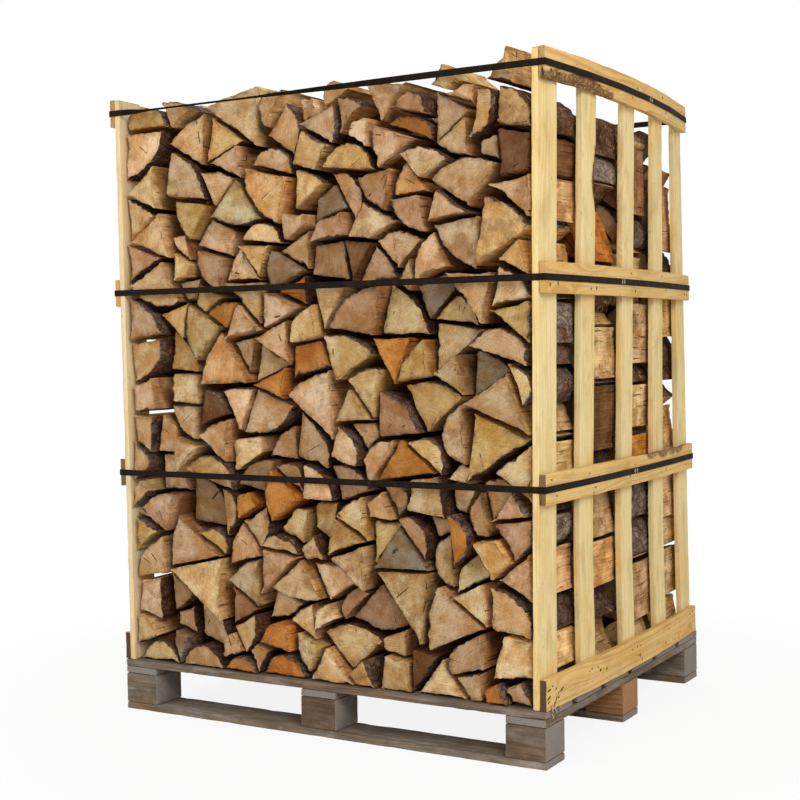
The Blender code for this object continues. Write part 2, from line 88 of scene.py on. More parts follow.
# Rows of billets
ROWS = 4
ROW_GAP = 0.004
SIDE_CLEARANCE = 0.0015
STACK_WIDTH = 2 * (INSIDE - SIDE_CLEARANCE)
STACK_FLOOR = DECK_TOP + GAP
ROW_SEEDS = (37, 12, 13, 14)
ROW_SIZES = (1.10, 1.25, 1.25, 1.50)     # how coarsely each row's wood is split
ROW_TOPS = (                 # height of each row's top: stations across, and the heights there
    ((-0.570, -0.500, -0.400, -0.325, -0.285, -0.245, -0.200, -0.160, -0.100, -0.060, 0.000, 0.080,
      0.116, 0.200, 0.300, 0.390, 0.425, 0.480, 0.570),
     (1.560, 1.559, 1.545, 1.560, 1.550, 1.525, 1.545, 1.554, 1.520, 1.522, 1.510, 1.510,
      1.530, 1.547, 1.515, 1.513, 1.508, 1.505, 1.510)),
    ((-0.57, 0.25, 0.57), (1.548, 1.533, 1.455)),
    ((-0.57, 0.25, 0.57), (1.548, 1.525, 1.490)),
    ((-0.57, 0.25, 0.57), (1.543, 1.515, 1.435)),
)
ROW_PEAKS = (                # billets laid last on each row, an edge up: place across, and height
    ((0.045, 1.577), (0.340, 1.578), (0.500, 1.600)), (), (), ())
LOOSE_PER_ROW = 3
END_MARGIN = 0.001           # least that a billet's end stands back from its row's face
END_SCATTER = 0.048          # and the most beyond that
END_BIAS = 1.4               # above 1, more ends stand near the face
FLUSH_ZONE = 0.02            # billets this close to a frame or the deck are set more nearly flush,
FLUSH_SHARE = 0.3            # with this share of the scatter
END_SLOPE = 0.08             # steepest saw cut
BAND_ROOM = 0.0165           # room behind the top band's front run, which is twisted edge-on
LOOSE_SLACK = 0.0015         # how much slimmer a loose billet is all round

# Split shapes: sizes are for a coarseness of 1
SIZE_SPREAD = (0.62, 1.36, 0.88)         # least, greatest and commonest size
WEDGES = 0.40                # share of wedges that keep their rounded bark side
SHARDS = 0.38                # share with three flat sides
SLABS = 0.10                 # share of slabs; the rest are half rounds
WEDGE_ANGLES = (45, 100)
WEDGE_RADIUS = 0.112
WEDGE_NARROWING = 0.12       # wide wedges come from thinner logs
WIDE_ARC = 1.5               # a wedge wider than this, in radians, has one more facet of bark
SHARD_ANGLES = (42, 88)
SHARD_SIDE = 0.118
SHARD_SIDE_RATIOS = (0.72, 1.15)
SLAB_WIDTHS = (0.070, 0.105)
SLAB_HEIGHTS = (0.055, 0.080)
SLAB_TAPERS = (0.35, 0.85)
SLAB_SHIFT = 0.2
SLAB_SKEW = 0.012
SLAB_LEAN = (0.75, 1.2)
HALF_ROUND_RADIUS = 0.066
HALF_ROUND_ANGLES = (145, 180)
HALF_ROUND_FACETS = 4

# Stacking
COLUMN = 0.004               # width of a column of the height field that the billets land on
FINE = 4                     # samples of an outline in each column
SHAPES = 70                  # outlines to choose from
TURNS = 14                   # ways up for each
TRIES = 700                  # of them tried for each place
FULL = 0.03                  # a column this close under the row's top takes no more
OVERSHOOT = 0.02             # most that a billet rises over the row's top
SLIT = 0.045                 # a gap beside the frame narrower than this can't be filled
LIFT = 0.001                 # air left over each billet as the next one lands
CREST_COST = 3.5             # what a place costs by how high the billet rises there
SLIT_COST = 5
SIZE_GAIN = 16
PEAK_COST = 40               # what a peak's place costs by how far it misses its height
PEAK_TIP = 0.02              # depth below its top where a peak's bluntness is measured
BLUNT_COST = 14
LUCK = 0.05
TURN_COST = 0.05             # what each earlier use of this outline this way up costs
SHAPE_COST = 0.03            # and each use of it any way up
CONTACT = 0.0015             # air between billets
NEIGHBOURHOOD = 0.22         # no two billets further apart than this touch
SHRINK = 0.985
GROWTH = (0.012, 0.008, 0.005, 0.003, 0.0015)             # how far a corner may move out, longest first
GROWTH_ROUNDS = 2

# Marks in the height field, far beyond any height in metres
WALL = 50.0
EMPTY = 99.0
CLOSED = 9.0
REFUSED = 1000.0


def outward(y, z):
    """How far the frames and what they hold are pushed out sideways at depth y and height z."""
    back = y / DEPTH + 0.5
    lift = z / FRAME_TOP
    across = np.interp(back, DEPTH_STATIONS, [4 * s * (1 - s) for s in DEPTH_STATIONS])
    rise = np.interp(z, HEIGHT_STATIONS, [s * s * (3 - 2 * s) for s in RISE_SHARES])
    belly = BELLY * lift * rise + FOOT_BELLY * (1 - rise)
    return lift * (FRONT_LEAN * (1 - back) + BACK_LEAN * back) + belly * across


# ---------------------------------------------------------------- where the billets lie, as in the CAD model

def arc(radius, angle, parts):
    angles = [angle * (i / parts - 0.5) for i in range(parts + 1)]
    return [(radius * math.cos(a), radius * math.sin(a)) for a in angles]


def billet(rng, coarseness):
    """Outline of one split billet, anticlockwise."""
    kind = rng.random()
    size = coarseness * rng.triangular(*SIZE_SPREAD)
    if kind < WEDGES:
        angle = math.radians(rng.uniform(*WEDGE_ANGLES))
        radius = size * WEDGE_RADIUS * (1 + WEDGE_NARROWING * (1 - angle))
        return [(0.0, 0.0)] + arc(radius, angle, 2 if angle < WIDE_ARC else 3)
    if kind < WEDGES + SHARDS:
        angle = math.radians(rng.uniform(*SHARD_ANGLES))
        long = size * SHARD_SIDE
        short = long * rng.uniform(*SHARD_SIDE_RATIOS)
        return [(0.0, 0.0), (long * math.cos(angle / 2), -long * math.sin(angle / 2)),
                (short * math.cos(angle / 2), short * math.sin(angle / 2))]
    if kind < WEDGES + SHARDS + SLABS:
        width = size * rng.uniform(*SLAB_WIDTHS)
        height = size * rng.uniform(*SLAB_HEIGHTS)
        taper = rng.uniform(*SLAB_TAPERS)
        shift = rng.uniform(-SLAB_SHIFT, SLAB_SHIFT) * width
        return [(-width / 2, 0.0), (width / 2, rng.uniform(-SLAB_SKEW, SLAB_SKEW)),
                (width * taper / 2 + shift, height),
                (-width * taper / 2 + shift, height * rng.uniform(*SLAB_LEAN))]
    angle = math.radians(rng.uniform(*HALF_ROUND_ANGLES))
    return arc(size * HALF_ROUND_RADIUS, angle, HALF_ROUND_FACETS)


def turned(outline, angle):
    c = math.cos(angle)
    s = math.sin(angle)
    return [(x * c - z * s, x * s + z * c) for x, z in outline]


def area(outline):
    pairs = zip(outline, outline[1:] + outline[:1])
    return sum(ax * bz - bx * az for (ax, az), (bx, bz) in pairs) / 2


def profile(outline):
    """Underside and top of a convex outline in each column it covers, and the first column's left."""
    left = min(x for x, _ in outline)
    width = max(x for x, _ in outline) - left
    count = math.ceil(width / COLUMN) + 1
    left -= (count * COLUMN - width) / 2
    first = outline.index(min(outline))
    ring = outline[first:] + outline[:first]
    last = ring.index(max(ring))
    xs = left + np.arange(count * FINE + 1) * COLUMN / FINE
    under, over = (np.interp(xs, *zip(*side)) for side in (ring[:last + 1], [ring[0]] + ring[:last - 1:-1]))
    windows = [slice(i, i + count * FINE, FINE) for i in range(FINE + 1)]
    return np.min([under[w] for w in windows], axis=0), np.max([over[w] for w in windows], axis=0), left


def stack(seed, coarseness, tops, peaks):
    """Drops billets on the lowest place until the row is full, and then one at each peak."""
    rng = random.Random(seed)
    outlines = []
    for _ in range(SHAPES):
        shape = billet(rng, coarseness)
        outlines += [turned(shape, 2 * math.pi * (k + rng.random()) / TURNS) for k in range(TURNS)]
    profiles = [profile(outline) for outline in outlines]
    sizes = np.array([area(outline) for outline in outlines])
    counts = np.array([len(under) for under, _, _ in profiles])
    crests = np.array([over.max() for _, over, _ in profiles])
    span = counts.max()
    unders = np.full((len(outlines), span), EMPTY)
    for row, (under, _, _) in zip(unders, profiles):
        row[:len(under)] = under

    columns = int(STACK_WIDTH / COLUMN)
    goal = np.interp((np.arange(columns) + 0.5) * COLUMN - STACK_WIDTH / 2, *tops) - STACK_FLOOR
    ground = np.concatenate([np.zeros(columns), np.full(span, WALL)])
    full = np.zeros(columns, bool)
    uses = np.zeros(len(outlines))
    placed = []

    def lay(choice, start, rest):
        _, over, offset = profiles[choice]
        ground[start:start + len(over)] = rest + over + LIFT
        shift = start * COLUMN - offset
        placed.append([(x + shift, z + rest) for x, z in outlines[choice]])

    while True:
        heights = np.where(full | (ground[:columns] > goal - FULL), CLOSED, ground[:columns])
        column = int(heights.argmin())
        if heights[column] == CLOSED:
            break
        picks = np.array(rng.sample(range(len(outlines)), TRIES))
        starts = np.arange(max(0, column - span + 1), column + 1)
        beneath = np.lib.stride_tricks.sliding_window_view(ground, span)[starts]
        undersides = unders[picks][:, None, :]
        room = beneath[None] - undersides
        rests = room.max(axis=2)
        hollow = np.where(undersides < EMPTY, rests[:, :, None] - room, 0).sum(axis=2) * COLUMN
        ends = starts[None] + counts[picks][:, None]
        crest = rests + crests[picks][:, None]
        slits = 0
        for slit in (starts[None] * COLUMN, (columns - ends) * COLUMN):
            slits = slits + np.where((slit > 0) & (slit < SLIT), slit, 0)
        luck = np.array([rng.random() for _ in picks])
        size = sizes[picks][:, None]
        cost = hollow / size + CREST_COST * (crest - ground[column]) + SLIT_COST * slits - SIZE_GAIN * size
        cost += (uses[picks] + LUCK * luck)[:, None]
        cost[(ends > columns) | (ends <= column) | (crest > goal[column] + OVERSHOOT)] = REFUSED
        best, start = divmod(int(cost.argmin()), len(starts))
        if cost[best, start] == REFUSED:
            full[column] = True
            continue
        choice = picks[best]
        lay(choice, int(starts[start]), rests[best, start])
        uses[choice] += TURN_COST
        family = choice // TURNS * TURNS
        uses[family:family + TURNS] += SHAPE_COST

    for across, height in peaks:
        places = []
        for choice, (under, over, _) in enumerate(profiles):
            start = int((across + STACK_WIDTH / 2) / COLUMN) - int(over.argmax())
            if 0 <= start <= columns - len(under):
                room = ground[start:start + len(under)] - under
                rest = room.max()
                miss = abs(rest + crests[choice] + STACK_FLOOR - height)
                blunt = (over > crests[choice] - PEAK_TIP).sum() * COLUMN
                cost = (rest - room).sum() * COLUMN / sizes[choice] + PEAK_COST * miss + BLUNT_COST * blunt
                places.append((cost, choice, start, rest))
        lay(*min(places)[1:])
    return placed


def apart(a, b):
    """True where a line along one of a's sides keeps outline b off it."""
    for (ax, az), (bx, bz) in zip(a, a[1:] + a[:1]):
        length = math.hypot(bx - ax, bz - az)
        if min((x - ax) * (bz - az) + (z - az) * (ax - bx) for x, z in b) >= CONTACT * length:
            return True
    return False


def convex(outline):
    for i in range(len(outline)):
        (ax, az), (bx, bz), (cx, cz) = outline[i - 2], outline[i - 1], outline[i]
        if (bx - ax) * (cz - bz) - (bz - az) * (cx - bx) <= 1e-6:
            return False
    return True


def centre(outline):
    return sum(x for x, _ in outline) / len(outline), sum(z for _, z in outline) / len(outline)


def settle(outlines, seed, tops):
    """Moves corners out into the hollows until the billets lie close against each other."""
    rng = random.Random(seed)
    middles = [centre(outline) for outline in outlines]
    near = [[j for j, other in enumerate(middles) if j != i and math.dist(middle, other) < NEIGHBOURHOOD]
            for i, middle in enumerate(middles)]

    def clear(outline, i):
        return all(apart(outline, outlines[j]) or apart(outlines[j], outline) for j in near[i])

    for i, (mx, mz) in enumerate(middles):
        while not clear(outlines[i], i):
            outlines[i] = [(mx + (x - mx) * SHRINK, mz + (z - mz) * SHRINK) for x, z in outlines[i]]
    crests = [max(max(z for _, z in outline), np.interp(x - STACK_WIDTH / 2, *tops) - STACK_FLOOR)
              for outline, (x, _) in zip(outlines, middles)]
    for _ in range(GROWTH_ROUNDS):
        order = list(range(len(outlines)))
        rng.shuffle(order)
        for i in order:
            mx, mz = middles[i]
            for corner in range(len(outlines[i])):
                x, z = outlines[i][corner]
                away = math.dist((x, z), middles[i])
                for step in GROWTH:
                    moved = (x + (x - mx) / away * step, z + (z - mz) / away * step)
                    trial = outlines[i][:corner] + [moved] + outlines[i][corner + 1:]
                    inside = 0 <= moved[0] <= STACK_WIDTH and 0 <= moved[1] <= crests[i]
                    if inside and convex(trial) and clear(trial, i):
                        outlines[i] = trial
                        break
    return outlines


def widened(outline, margin):
    """The outline with every side moved outward by margin."""
    corners = []
    for i, (x, z) in enumerate(outline):
        before = outline[i - 1]
        after = outline[(i + 1) % len(outline)]
        first = math.atan2(x - before[0], z - before[1])
        turn = (math.atan2(after[0] - x, after[1] - z) - first + math.pi) % (2 * math.pi) - math.pi
        reach = margin / math.cos(turn / 2)
        facing = first + turn / 2
        corners.append((x + reach * math.cos(facing), z - reach * math.sin(facing)))
    return corners


# ---------------------------------------------------------------- surfaces in code

CORNER_SHARE = 0.3           # most of a side that wear takes at each of its corners
CORNER_FREEDOM = 0.35        # how much of the surface's relief a worn corner takes part in
SHORTEST_RUN = 1e-6


def noise(u, v, seed):
    """Smooth random field between 0 and 1."""
    i = np.floor(u).astype(np.int64)
    j = np.floor(v).astype(np.int64)
    a = u - i
    b = v - j
    a = a * a * (3 - 2 * a)
    b = b * b * (3 - 2 * b)

    def lattice(i, j):
        n = (i * 374761393 + j * 668265263 + seed * 97463477) & 0xffffffff
        n = ((n ^ (n >> 13)) * 1274126177) & 0xffffffff
        return ((n ^ (n >> 16)) & 0xffff) / 65535.0

    low = lattice(i, j) * (1 - a) + lattice(i + 1, j) * a
    high = lattice(i, j + 1) * (1 - a) + lattice(i + 1, j + 1) * a
    return low * (1 - b) + high * b


def contour(outline, bark, step, wear):
    """Points around an outline, with its bark rounded and its split corners worn.

    wear gives how far back each corner is worn.  Gives the points, whether the run after each one is
    bark, and how freely each one may move.
    """
    count = len(outline)
    corners = [np.array(point) for point in outline]
    lengths = [np.linalg.norm(corners[(i + 1) % count] - corners[i]) for i in range(count)]
    before = []
    after = []
    for i in range(count):
        if bark[i - 1] and bark[i]:
            cuts = lengths[i - 1] / 2, lengths[i] / 2
        else:
            cuts = (min(wear[i], CORNER_SHARE * lengths[i - 1], CORNER_SHARE * lengths[i]),) * 2
        before.append(cuts[0])
        after.append(cuts[1])
    made = []                    # point, bark or not, freedom
    for i in range(count):
        following = (i + 1) % count
        along = (corners[following] - corners[i]) / lengths[i]
        back = (corners[i - 1] - corners[i]) / lengths[i - 1]
        start = corners[i] + back * before[i]
        end = corners[i] + along * after[i]
        rounded = bark[i - 1] and bark[i]
        parts = max(2, math.ceil((before[i] + after[i]) / step)) if rounded else 2
        run = lengths[i] - after[i] - before[following]
        for k in range(parts + (run > SHORTEST_RUN)):
            t = k / parts
            point = (1 - t) ** 2 * start + 2 * t * (1 - t) * corners[i] + t * t * end
            flag = bark[i - 1] if k < parts / 2 else bark[i]
            made.append((point, flag, 1.0 if rounded else CORNER_FREEDOM))
        if run > SHORTEST_RUN:
            pieces = max(1, math.ceil(run / step))
            made += [(end + along * run * k / pieces, bark[i], 1.0) for k in range(1, pieces)]
    return [np.array(values) for values in zip(*made)]


def around_of(points):
    """How far around a closed line each point lies, and unit vectors that point into the line."""
    tangent = np.roll(points, -1, axis=0) - np.roll(points, 1, axis=0)
    normal = np.stack([-tangent[:, 1], tangent[:, 0]], axis=1)
    around = np.cumsum(np.linalg.norm(points - np.roll(points, 1, axis=0), axis=1))
    return around, normal / np.linalg.norm(normal, axis=1)[:, None]


def ring_faces(first, second, size):
    """Quads between two rings of points, given the numbers of their first points."""
    here = np.arange(size)
    following = (here + 1) % size
    return np.stack([first + here, second + here, second + following, first + following], axis=1)


class Shells:
    """Closed surfaces through rings of points, gathered in one mesh."""

    def __init__(self):
        self.points = []
        self.faces = []
        self.slots = []
        self.fields = {}
        self.count = 0

    def add(self, rings, poles, slots, **fields):
        """slots gives each band's material, per run around the ring.

        fields hold one value for all points or one for each; the grain is the points unless they say.
        """
        size = len(rings[0])
        here = np.arange(size)
        following = (here + 1) % size
        points = np.concatenate([poles[0][None], *rings, poles[1][None]])
        last = 1 + size * (len(rings) - 1)
        faces = [np.stack([0 * here, 1 + here, 1 + following], axis=1)]
        faces += [ring_faces(1 + size * k, 1 + size * (k + 1), size) for k in range(len(rings) - 1)]
        faces.append(np.stack([0 * here + last + size, last + following, last + here], axis=1))
        volume = 0.0
        for block in faces:
            a, b, c = (points[block[:, k]] for k in range(3))
            volume += np.einsum("ij,ij->", a, np.cross(b, c))
        for block, slot in zip(faces, slots):
            self.faces += ((block[:, ::-1] if volume < 0 else block) + self.count).tolist()
            self.slots.append(np.broadcast_to(slot, size))
        self.points.append(points)
        self.count += len(points)
        for name, values in {"grain": points, **fields}.items():
            if np.ndim(values) < 2:
                values = np.tile(np.array(values, float), (len(points), 1))
            self.fields.setdefault(name, []).append(values)

    def build(self, name, looks, replaced, slot_name, sharp=30):
        mesh = bpy.data.meshes.new(name)
        mesh.from_pydata(np.concatenate(self.points).tolist(), [], self.faces)
        for look in looks:
            mesh.materials.append(LOOKS[look])
        mesh.polygons.foreach_set("material_index", np.concatenate(self.slots).astype(np.int32))
        for field, values in self.fields.items():
            values = np.concatenate(values).astype(np.float32)
            kind, key = {1: ("FLOAT", "value"), 3: ("FLOAT_VECTOR", "vector"),
                         4: ("FLOAT_COLOR", "color")}[values.shape[1]]
            mesh.attributes.new(field, kind, "POINT").data.foreach_set(key, values.ravel())
        mesh.shade_smooth()
        mesh.set_sharp_from_angle(angle=math.radians(sharp))
        piece = bpy.data.objects.new(name, mesh)
        bpy.context.scene.collection.objects.link(piece)
        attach(piece, "root")
        if replaced:
            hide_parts(*replaced)


# ---------------------------------------------------------------- colours and node materials

def colour(red, green, blue):
    """Linear colour of a 0 to 255 display colour."""
    shares = [channel / 255 for channel in (red, green, blue)]
    return tuple(s / 12.92 if s <= 0.04045 else ((s + 0.055) / 1.055) ** 2.4 for s in shares) + (1.0,)


class Wire:
    """What a node gives.  It adds, subtracts and multiplies with others, with numbers and with colours."""

    def __init__(self, look, socket):
        self.look = look
        self.socket = socket

    def __add__(self, other):
        return self.look.join("ADD", self, other)

    def __sub__(self, other):
        return self.look.join("SUBTRACT", self, other)

    def __rsub__(self, other):
        return self.look.join("SUBTRACT", other, self)

    def __mul__(self, other):
        return self.look.join("MULTIPLY", self, other)

    def step(self, low, high, start=0.0, end=1.0):
        """Rises smoothly from start to end as the value goes from low to high."""
        inputs = {"Value": self, "From Min": low, "From Max": high, "To Min": start, "To Max": end}
        return self.look.add("MapRange", inputs, interpolation_type="SMOOTHSTEP")

    def stained(self, share, red, green, blue):
        return self.look.mix(share, self, colour(red, green, blue))


def is_wide(value):
    """True for a colour or a vector, false for a number."""
    return value.socket.type != "VALUE" if isinstance(value, Wire) else isinstance(value, tuple)


class Look:
    """A node material, with short ways to add and join its nodes.  The world has one too."""

    def __init__(self, name, world=None):
        self.material = world or bpy.data.materials.new(name)
        self.material.use_nodes = True
        self.tree = self.material.node_tree
        self.shader = self.tree.nodes["Background" if world else "Principled BSDF"]

    def put(self, socket, value):
        if isinstance(value, Wire):
            self.tree.links.new(value.socket, socket)
        else:
            socket.default_value = value[:3] if socket.type == "VECTOR" else value

    def add(self, kind, inputs=(), output=0, **settings):
        node = self.tree.nodes.new("ShaderNode" + kind)
        for key, value in settings.items():
            setattr(node, key, value)
        for socket, value in dict(inputs).items():
            self.put(node.inputs[socket], value)
        return Wire(self, node.outputs[output])

    def join(self, operation, a, b):
        if not is_wide(a) and not is_wide(b):
            return self.math(operation, a, b)
        if is_wide(a) and is_wide(b):
            return self.add("VectorMath", {0: a, 1: b}, operation=operation)
        return self.add("VectorMath", {0: a, "Scale": b}, operation="SCALE")

    def math(self, operation, *values):
        return self.add("Math", enumerate(values), operation=operation)

    def read(self, name, output="Fac"):
        return self.add("Attribute", output=output, attribute_name=name)

    def vector(self, x, y, z):
        return self.add("CombineXYZ", {0: x, 1: y, 2: z})

    def parts(self, vector):
        return [self.add("SeparateXYZ", {0: vector}, output) for output in range(3)]

    def length(self, vector):
        return self.add("VectorMath", {0: vector}, "Value", operation="LENGTH")

    def noise(self, vector, scale, detail=2.0, roughness=0.5, distortion=0.0, output="Fac"):
        inputs = {"Vector": vector, "Scale": scale, "Detail": detail, "Roughness": roughness,
                  "Distortion": distortion}
        return self.add("TexNoise", inputs, output)

    def bands(self, value, detail, roughness=0.5):
        """Noise along one value, for growth rings and rays."""
        inputs = {"W": value, "Scale": 1.0, "Detail": detail, "Roughness": roughness}
        return self.add("TexNoise", inputs, "Fac", noise_dimensions="1D")

    def cells(self, vector, scale, **settings):
        inputs = {"Vector": vector, "Scale": scale, "Randomness": 1.0}
        return self.add("TexVoronoi", inputs, "Distance", **settings)

    def mix(self, share, a, b):
        node = self.tree.nodes.new("ShaderNodeMix")
        node.data_type = "RGBA"
        for socket, value in ((0, share), (6, a), (7, b)):
            self.put(node.inputs[socket], value)
        return Wire(self, node.outputs[2])

    def finish(self, base, roughness, height, strength, distance, specular):
        self.put(self.shader.inputs["Base Color"], base)
        self.put(self.shader.inputs["Roughness"], roughness)
        self.shader.inputs["Specular IOR Level"].default_value = specular
        inputs = {"Height": height, "Strength": strength, "Distance": distance}
        self.put(self.shader.inputs["Normal"], self.add("Bump", inputs, "Normal"))
        return self.material


def wood_place(look):
    """The grain's coordinates, a billet's own number, and the coordinates moved to a spot of its own."""
    grain = look.read("grain", "Vector")
    chance = look.read("chance")
    return grain, chance, grain + look.vector(chance, chance, chance) * (7, 3, 5)


def with_painted_shade(look, base, least=0.74):
    """Painted shade: darker and browner where a surface lies deep between billets, standing in for the shade
    that falls there.
    """
    shelter = look.read("shelter")
    # painted shade: the deeper a point lies between billets, the browner and darker its colour
    return look.mix(shelter * 0.45, base, base * colour(226, 172, 122)) * shelter.step(0.0, 1.0, 1.0, least)


def sawn_end():
    """Cross-cut wood: rings around the pith, radial checks, saw marks, stains and a little dirt."""
    look = Look("sawn_end")
    grain, chance, place = wood_place(look)
    tint = look.read("tint", "Color")
    x, _, z = look.parts(grain)
    flat = place * (1, 0.15, 1)
    across = look.length(grain * (1, 0, 1))
    wander = look.noise(flat, 14)
    radius = across + wander * 0.016
    rings = look.math("SINE", radius * 1900) * 0.10
    rings = rings + look.bands(radius * 230, 1.5).step(0.35, 0.65, -0.5, 0.5)
    ray = look.bands(chance * 60 + look.math("ARCTAN2", z, x) * 5, 3.0, 0.7)
    check = ray.step(0.675, 0.70) * look.noise(flat, 30).step(0.52, 0.62)
    turn = chance * 6.283
    cosine = look.math("COSINE", turn)
    sine = look.math("SINE", turn)
    along_cut = x * cosine + z * sine
    over_cut = z * cosine - x * sine
    marks = look.math("SINE", look.noise(flat, 60) * 6 + along_cut * 1400)
    streaks = look.noise(look.vector(along_cut * 9, chance * 9, over_cut), 42, 4, 0.7)
    speckle = look.noise(flat, 420, 3, 0.7)
    grime = look.noise(flat, 62, 5, 0.7)

    deep = tint * colour(238, 214, 178)
    base = look.mix(look.noise(flat, 19, 3, 0.6).step(0.36, 0.66), tint * (1.13, 1.15, 1.18), deep)
    base = look.mix((across + wander * 0.03).step(0.025, 0.085, 0.35, 0.0), base, deep)
    stained = (look.noise(flat, 30, 3, 0.65) + chance * 0.16).step(0.62, 0.78)
    base = base.stained(stained * 0.50, 132, 94, 60)
    rust = (look.noise(flat * (1, 1, 0.6), 24, 3, 0.6) - chance * 0.14).step(0.50, 0.62)
    base = look.mix(rust * 0.35, base, tint * colour(236, 194, 132))
    level = (rings * 0.12 + marks * 0.03 + streaks * 0.75 + speckle * 0.60 + grime * 0.62) + 0.015
    dirty_rim = look.math("POWER", look.read("rim"), 3.0) * grime.step(0.35, 0.65, 0.55, 0.05)
    base = base * (level * (1.0 - dirty_rim))
    base = base.stained(look.noise(flat, 190, 2, 0.6).step(0.64, 0.73) * 0.5, 84, 52, 30)
    base = base.stained(check * 0.88, 46, 28, 17)
    height = marks * 0.25 + speckle * 0.9 + streaks * 1.3 + grime * 1.2 - check * 1.8
    return look.finish(base, 0.88, height, 0.8, 0.0013, 0.15)


def split_face():
    """Wood torn along its grain: long fibres, short cross cracks and stains."""
    look = Look("split_face")
    grain, _, place = wood_place(look)
    tint = look.read("tint", "Color")
    bend = look.noise(place * (1, 0.5, 1), 12)
    place = place + look.vector(bend, 0.0, bend) * (0.03, 0, 0.03)
    fibres = look.noise(place * (1, 0.045, 1), 260, 4, 0.7)
    strands = look.noise(place * (1, 0.10, 1), 60, 5, 0.7)
    crossing = look.noise(place * (0.22, 1, 0.22), 95, 3, 0.6, 0.5)
    swerve = look.noise(grain * (1, 0.35, 1), 11, 3, 0.55)
    years = look.bands((look.length(grain * (1, 0, 1)) + swerve * 0.035) * 210, 2.0, 0.6)
    cracks = crossing.step(0.60, 0.67) * look.noise(place, 24).step(0.50, 0.62)
    slits = look.noise(place * (1, 0.03, 1), 170, 2, 0.55).step(0.64, 0.69)

    patch = look.noise(place, 16, 3, 0.6).step(0.35, 0.65)
    base = look.mix(patch, tint * (1.62, 1.54, 1.34), tint * colour(240, 214, 170))
    base = base * (fibres * 0.95 + strands * 1.3 + years * 0.75 - 0.48)
    base = base.stained(years.step(0.62, 0.70) * 0.30, 126, 76, 38)
    base = base.stained(cracks * 0.75, 84, 50, 26).stained(slits * 0.7, 70, 42, 22)
    height = strands * 1.8 + fibres * 0.9 + years * 0.9 - (cracks + slits) * 1.1
    # split faces get painted shade where they lie deep between billets
    return look.finish(with_painted_shade(look, base), 0.9, height, 0.9, 0.0028, 0.12)


def bark_look():
    """Bark: cracked plates, brown and grey, with pale flakes and reddish inner bark."""
    look = Look("bark")
    _, chance, place = wood_place(look)
    bend = look.noise(place, 30.0, 3.0, 0.6, output="Color")
    place = place + (bend + (-0.5, -0.5, -0.5)) * 0.035
    furrow = look.cells(place * (1, 0.36, 1), 62.0, feature="DISTANCE_TO_EDGE").step(0.0, 0.13)
    rough = look.noise(place, 170, 5, 0.75)
    patch = look.noise(place * (1, 0.5, 1), 26, 4, 0.65)
    cracks = look.noise(place * (0.35, 1, 0.35), 60, 3, 0.6).step(0.60, 0.68)
    kind = look.add("ValToRGB", {0: chance})
    ramp = kind.socket.node.color_ramp
    ramp.interpolation = "CONSTANT"
    ramp.elements.remove(ramp.elements[1])
    ramp.elements[0].color = colour(132, 110, 96)
    for position, value in ((0.28, (104, 82, 68)), (0.50, (138, 118, 104)), (0.68, (120, 84, 60)),
                            (0.86, (158, 138, 120))):
        ramp.elements.new(position).color = colour(*value)
    base = look.mix(patch.step(0.40, 0.66), kind, kind * colour(170, 140, 116))
    flakes = look.noise(place, 50, 5, 0.75).step(0.56, 0.64) * chance.step(0.2, 0.6)
    inner = (look.noise(place, 19, 3, 0.6) - chance * 0.10).step(0.53, 0.60)
    base = base.stained(flakes * 0.65, 190, 168, 140).stained(inner * 0.8, 148, 92, 52)
    base = (base * (rough * 1.2 + 0.45)).stained((1.0 - furrow) * 0.55, 44, 28, 18)
    base = base.stained(cracks * 0.45, 46, 30, 20)
    height = furrow * 0.8 + rough * 1.3 - cracks * 0.7 + patch * 1.2
    # bark gets painted shade where it lies deep between billets
    return look.finish(with_painted_shade(look, base, 0.76), 0.94, height, 0.95, 0.0036, 0.12)


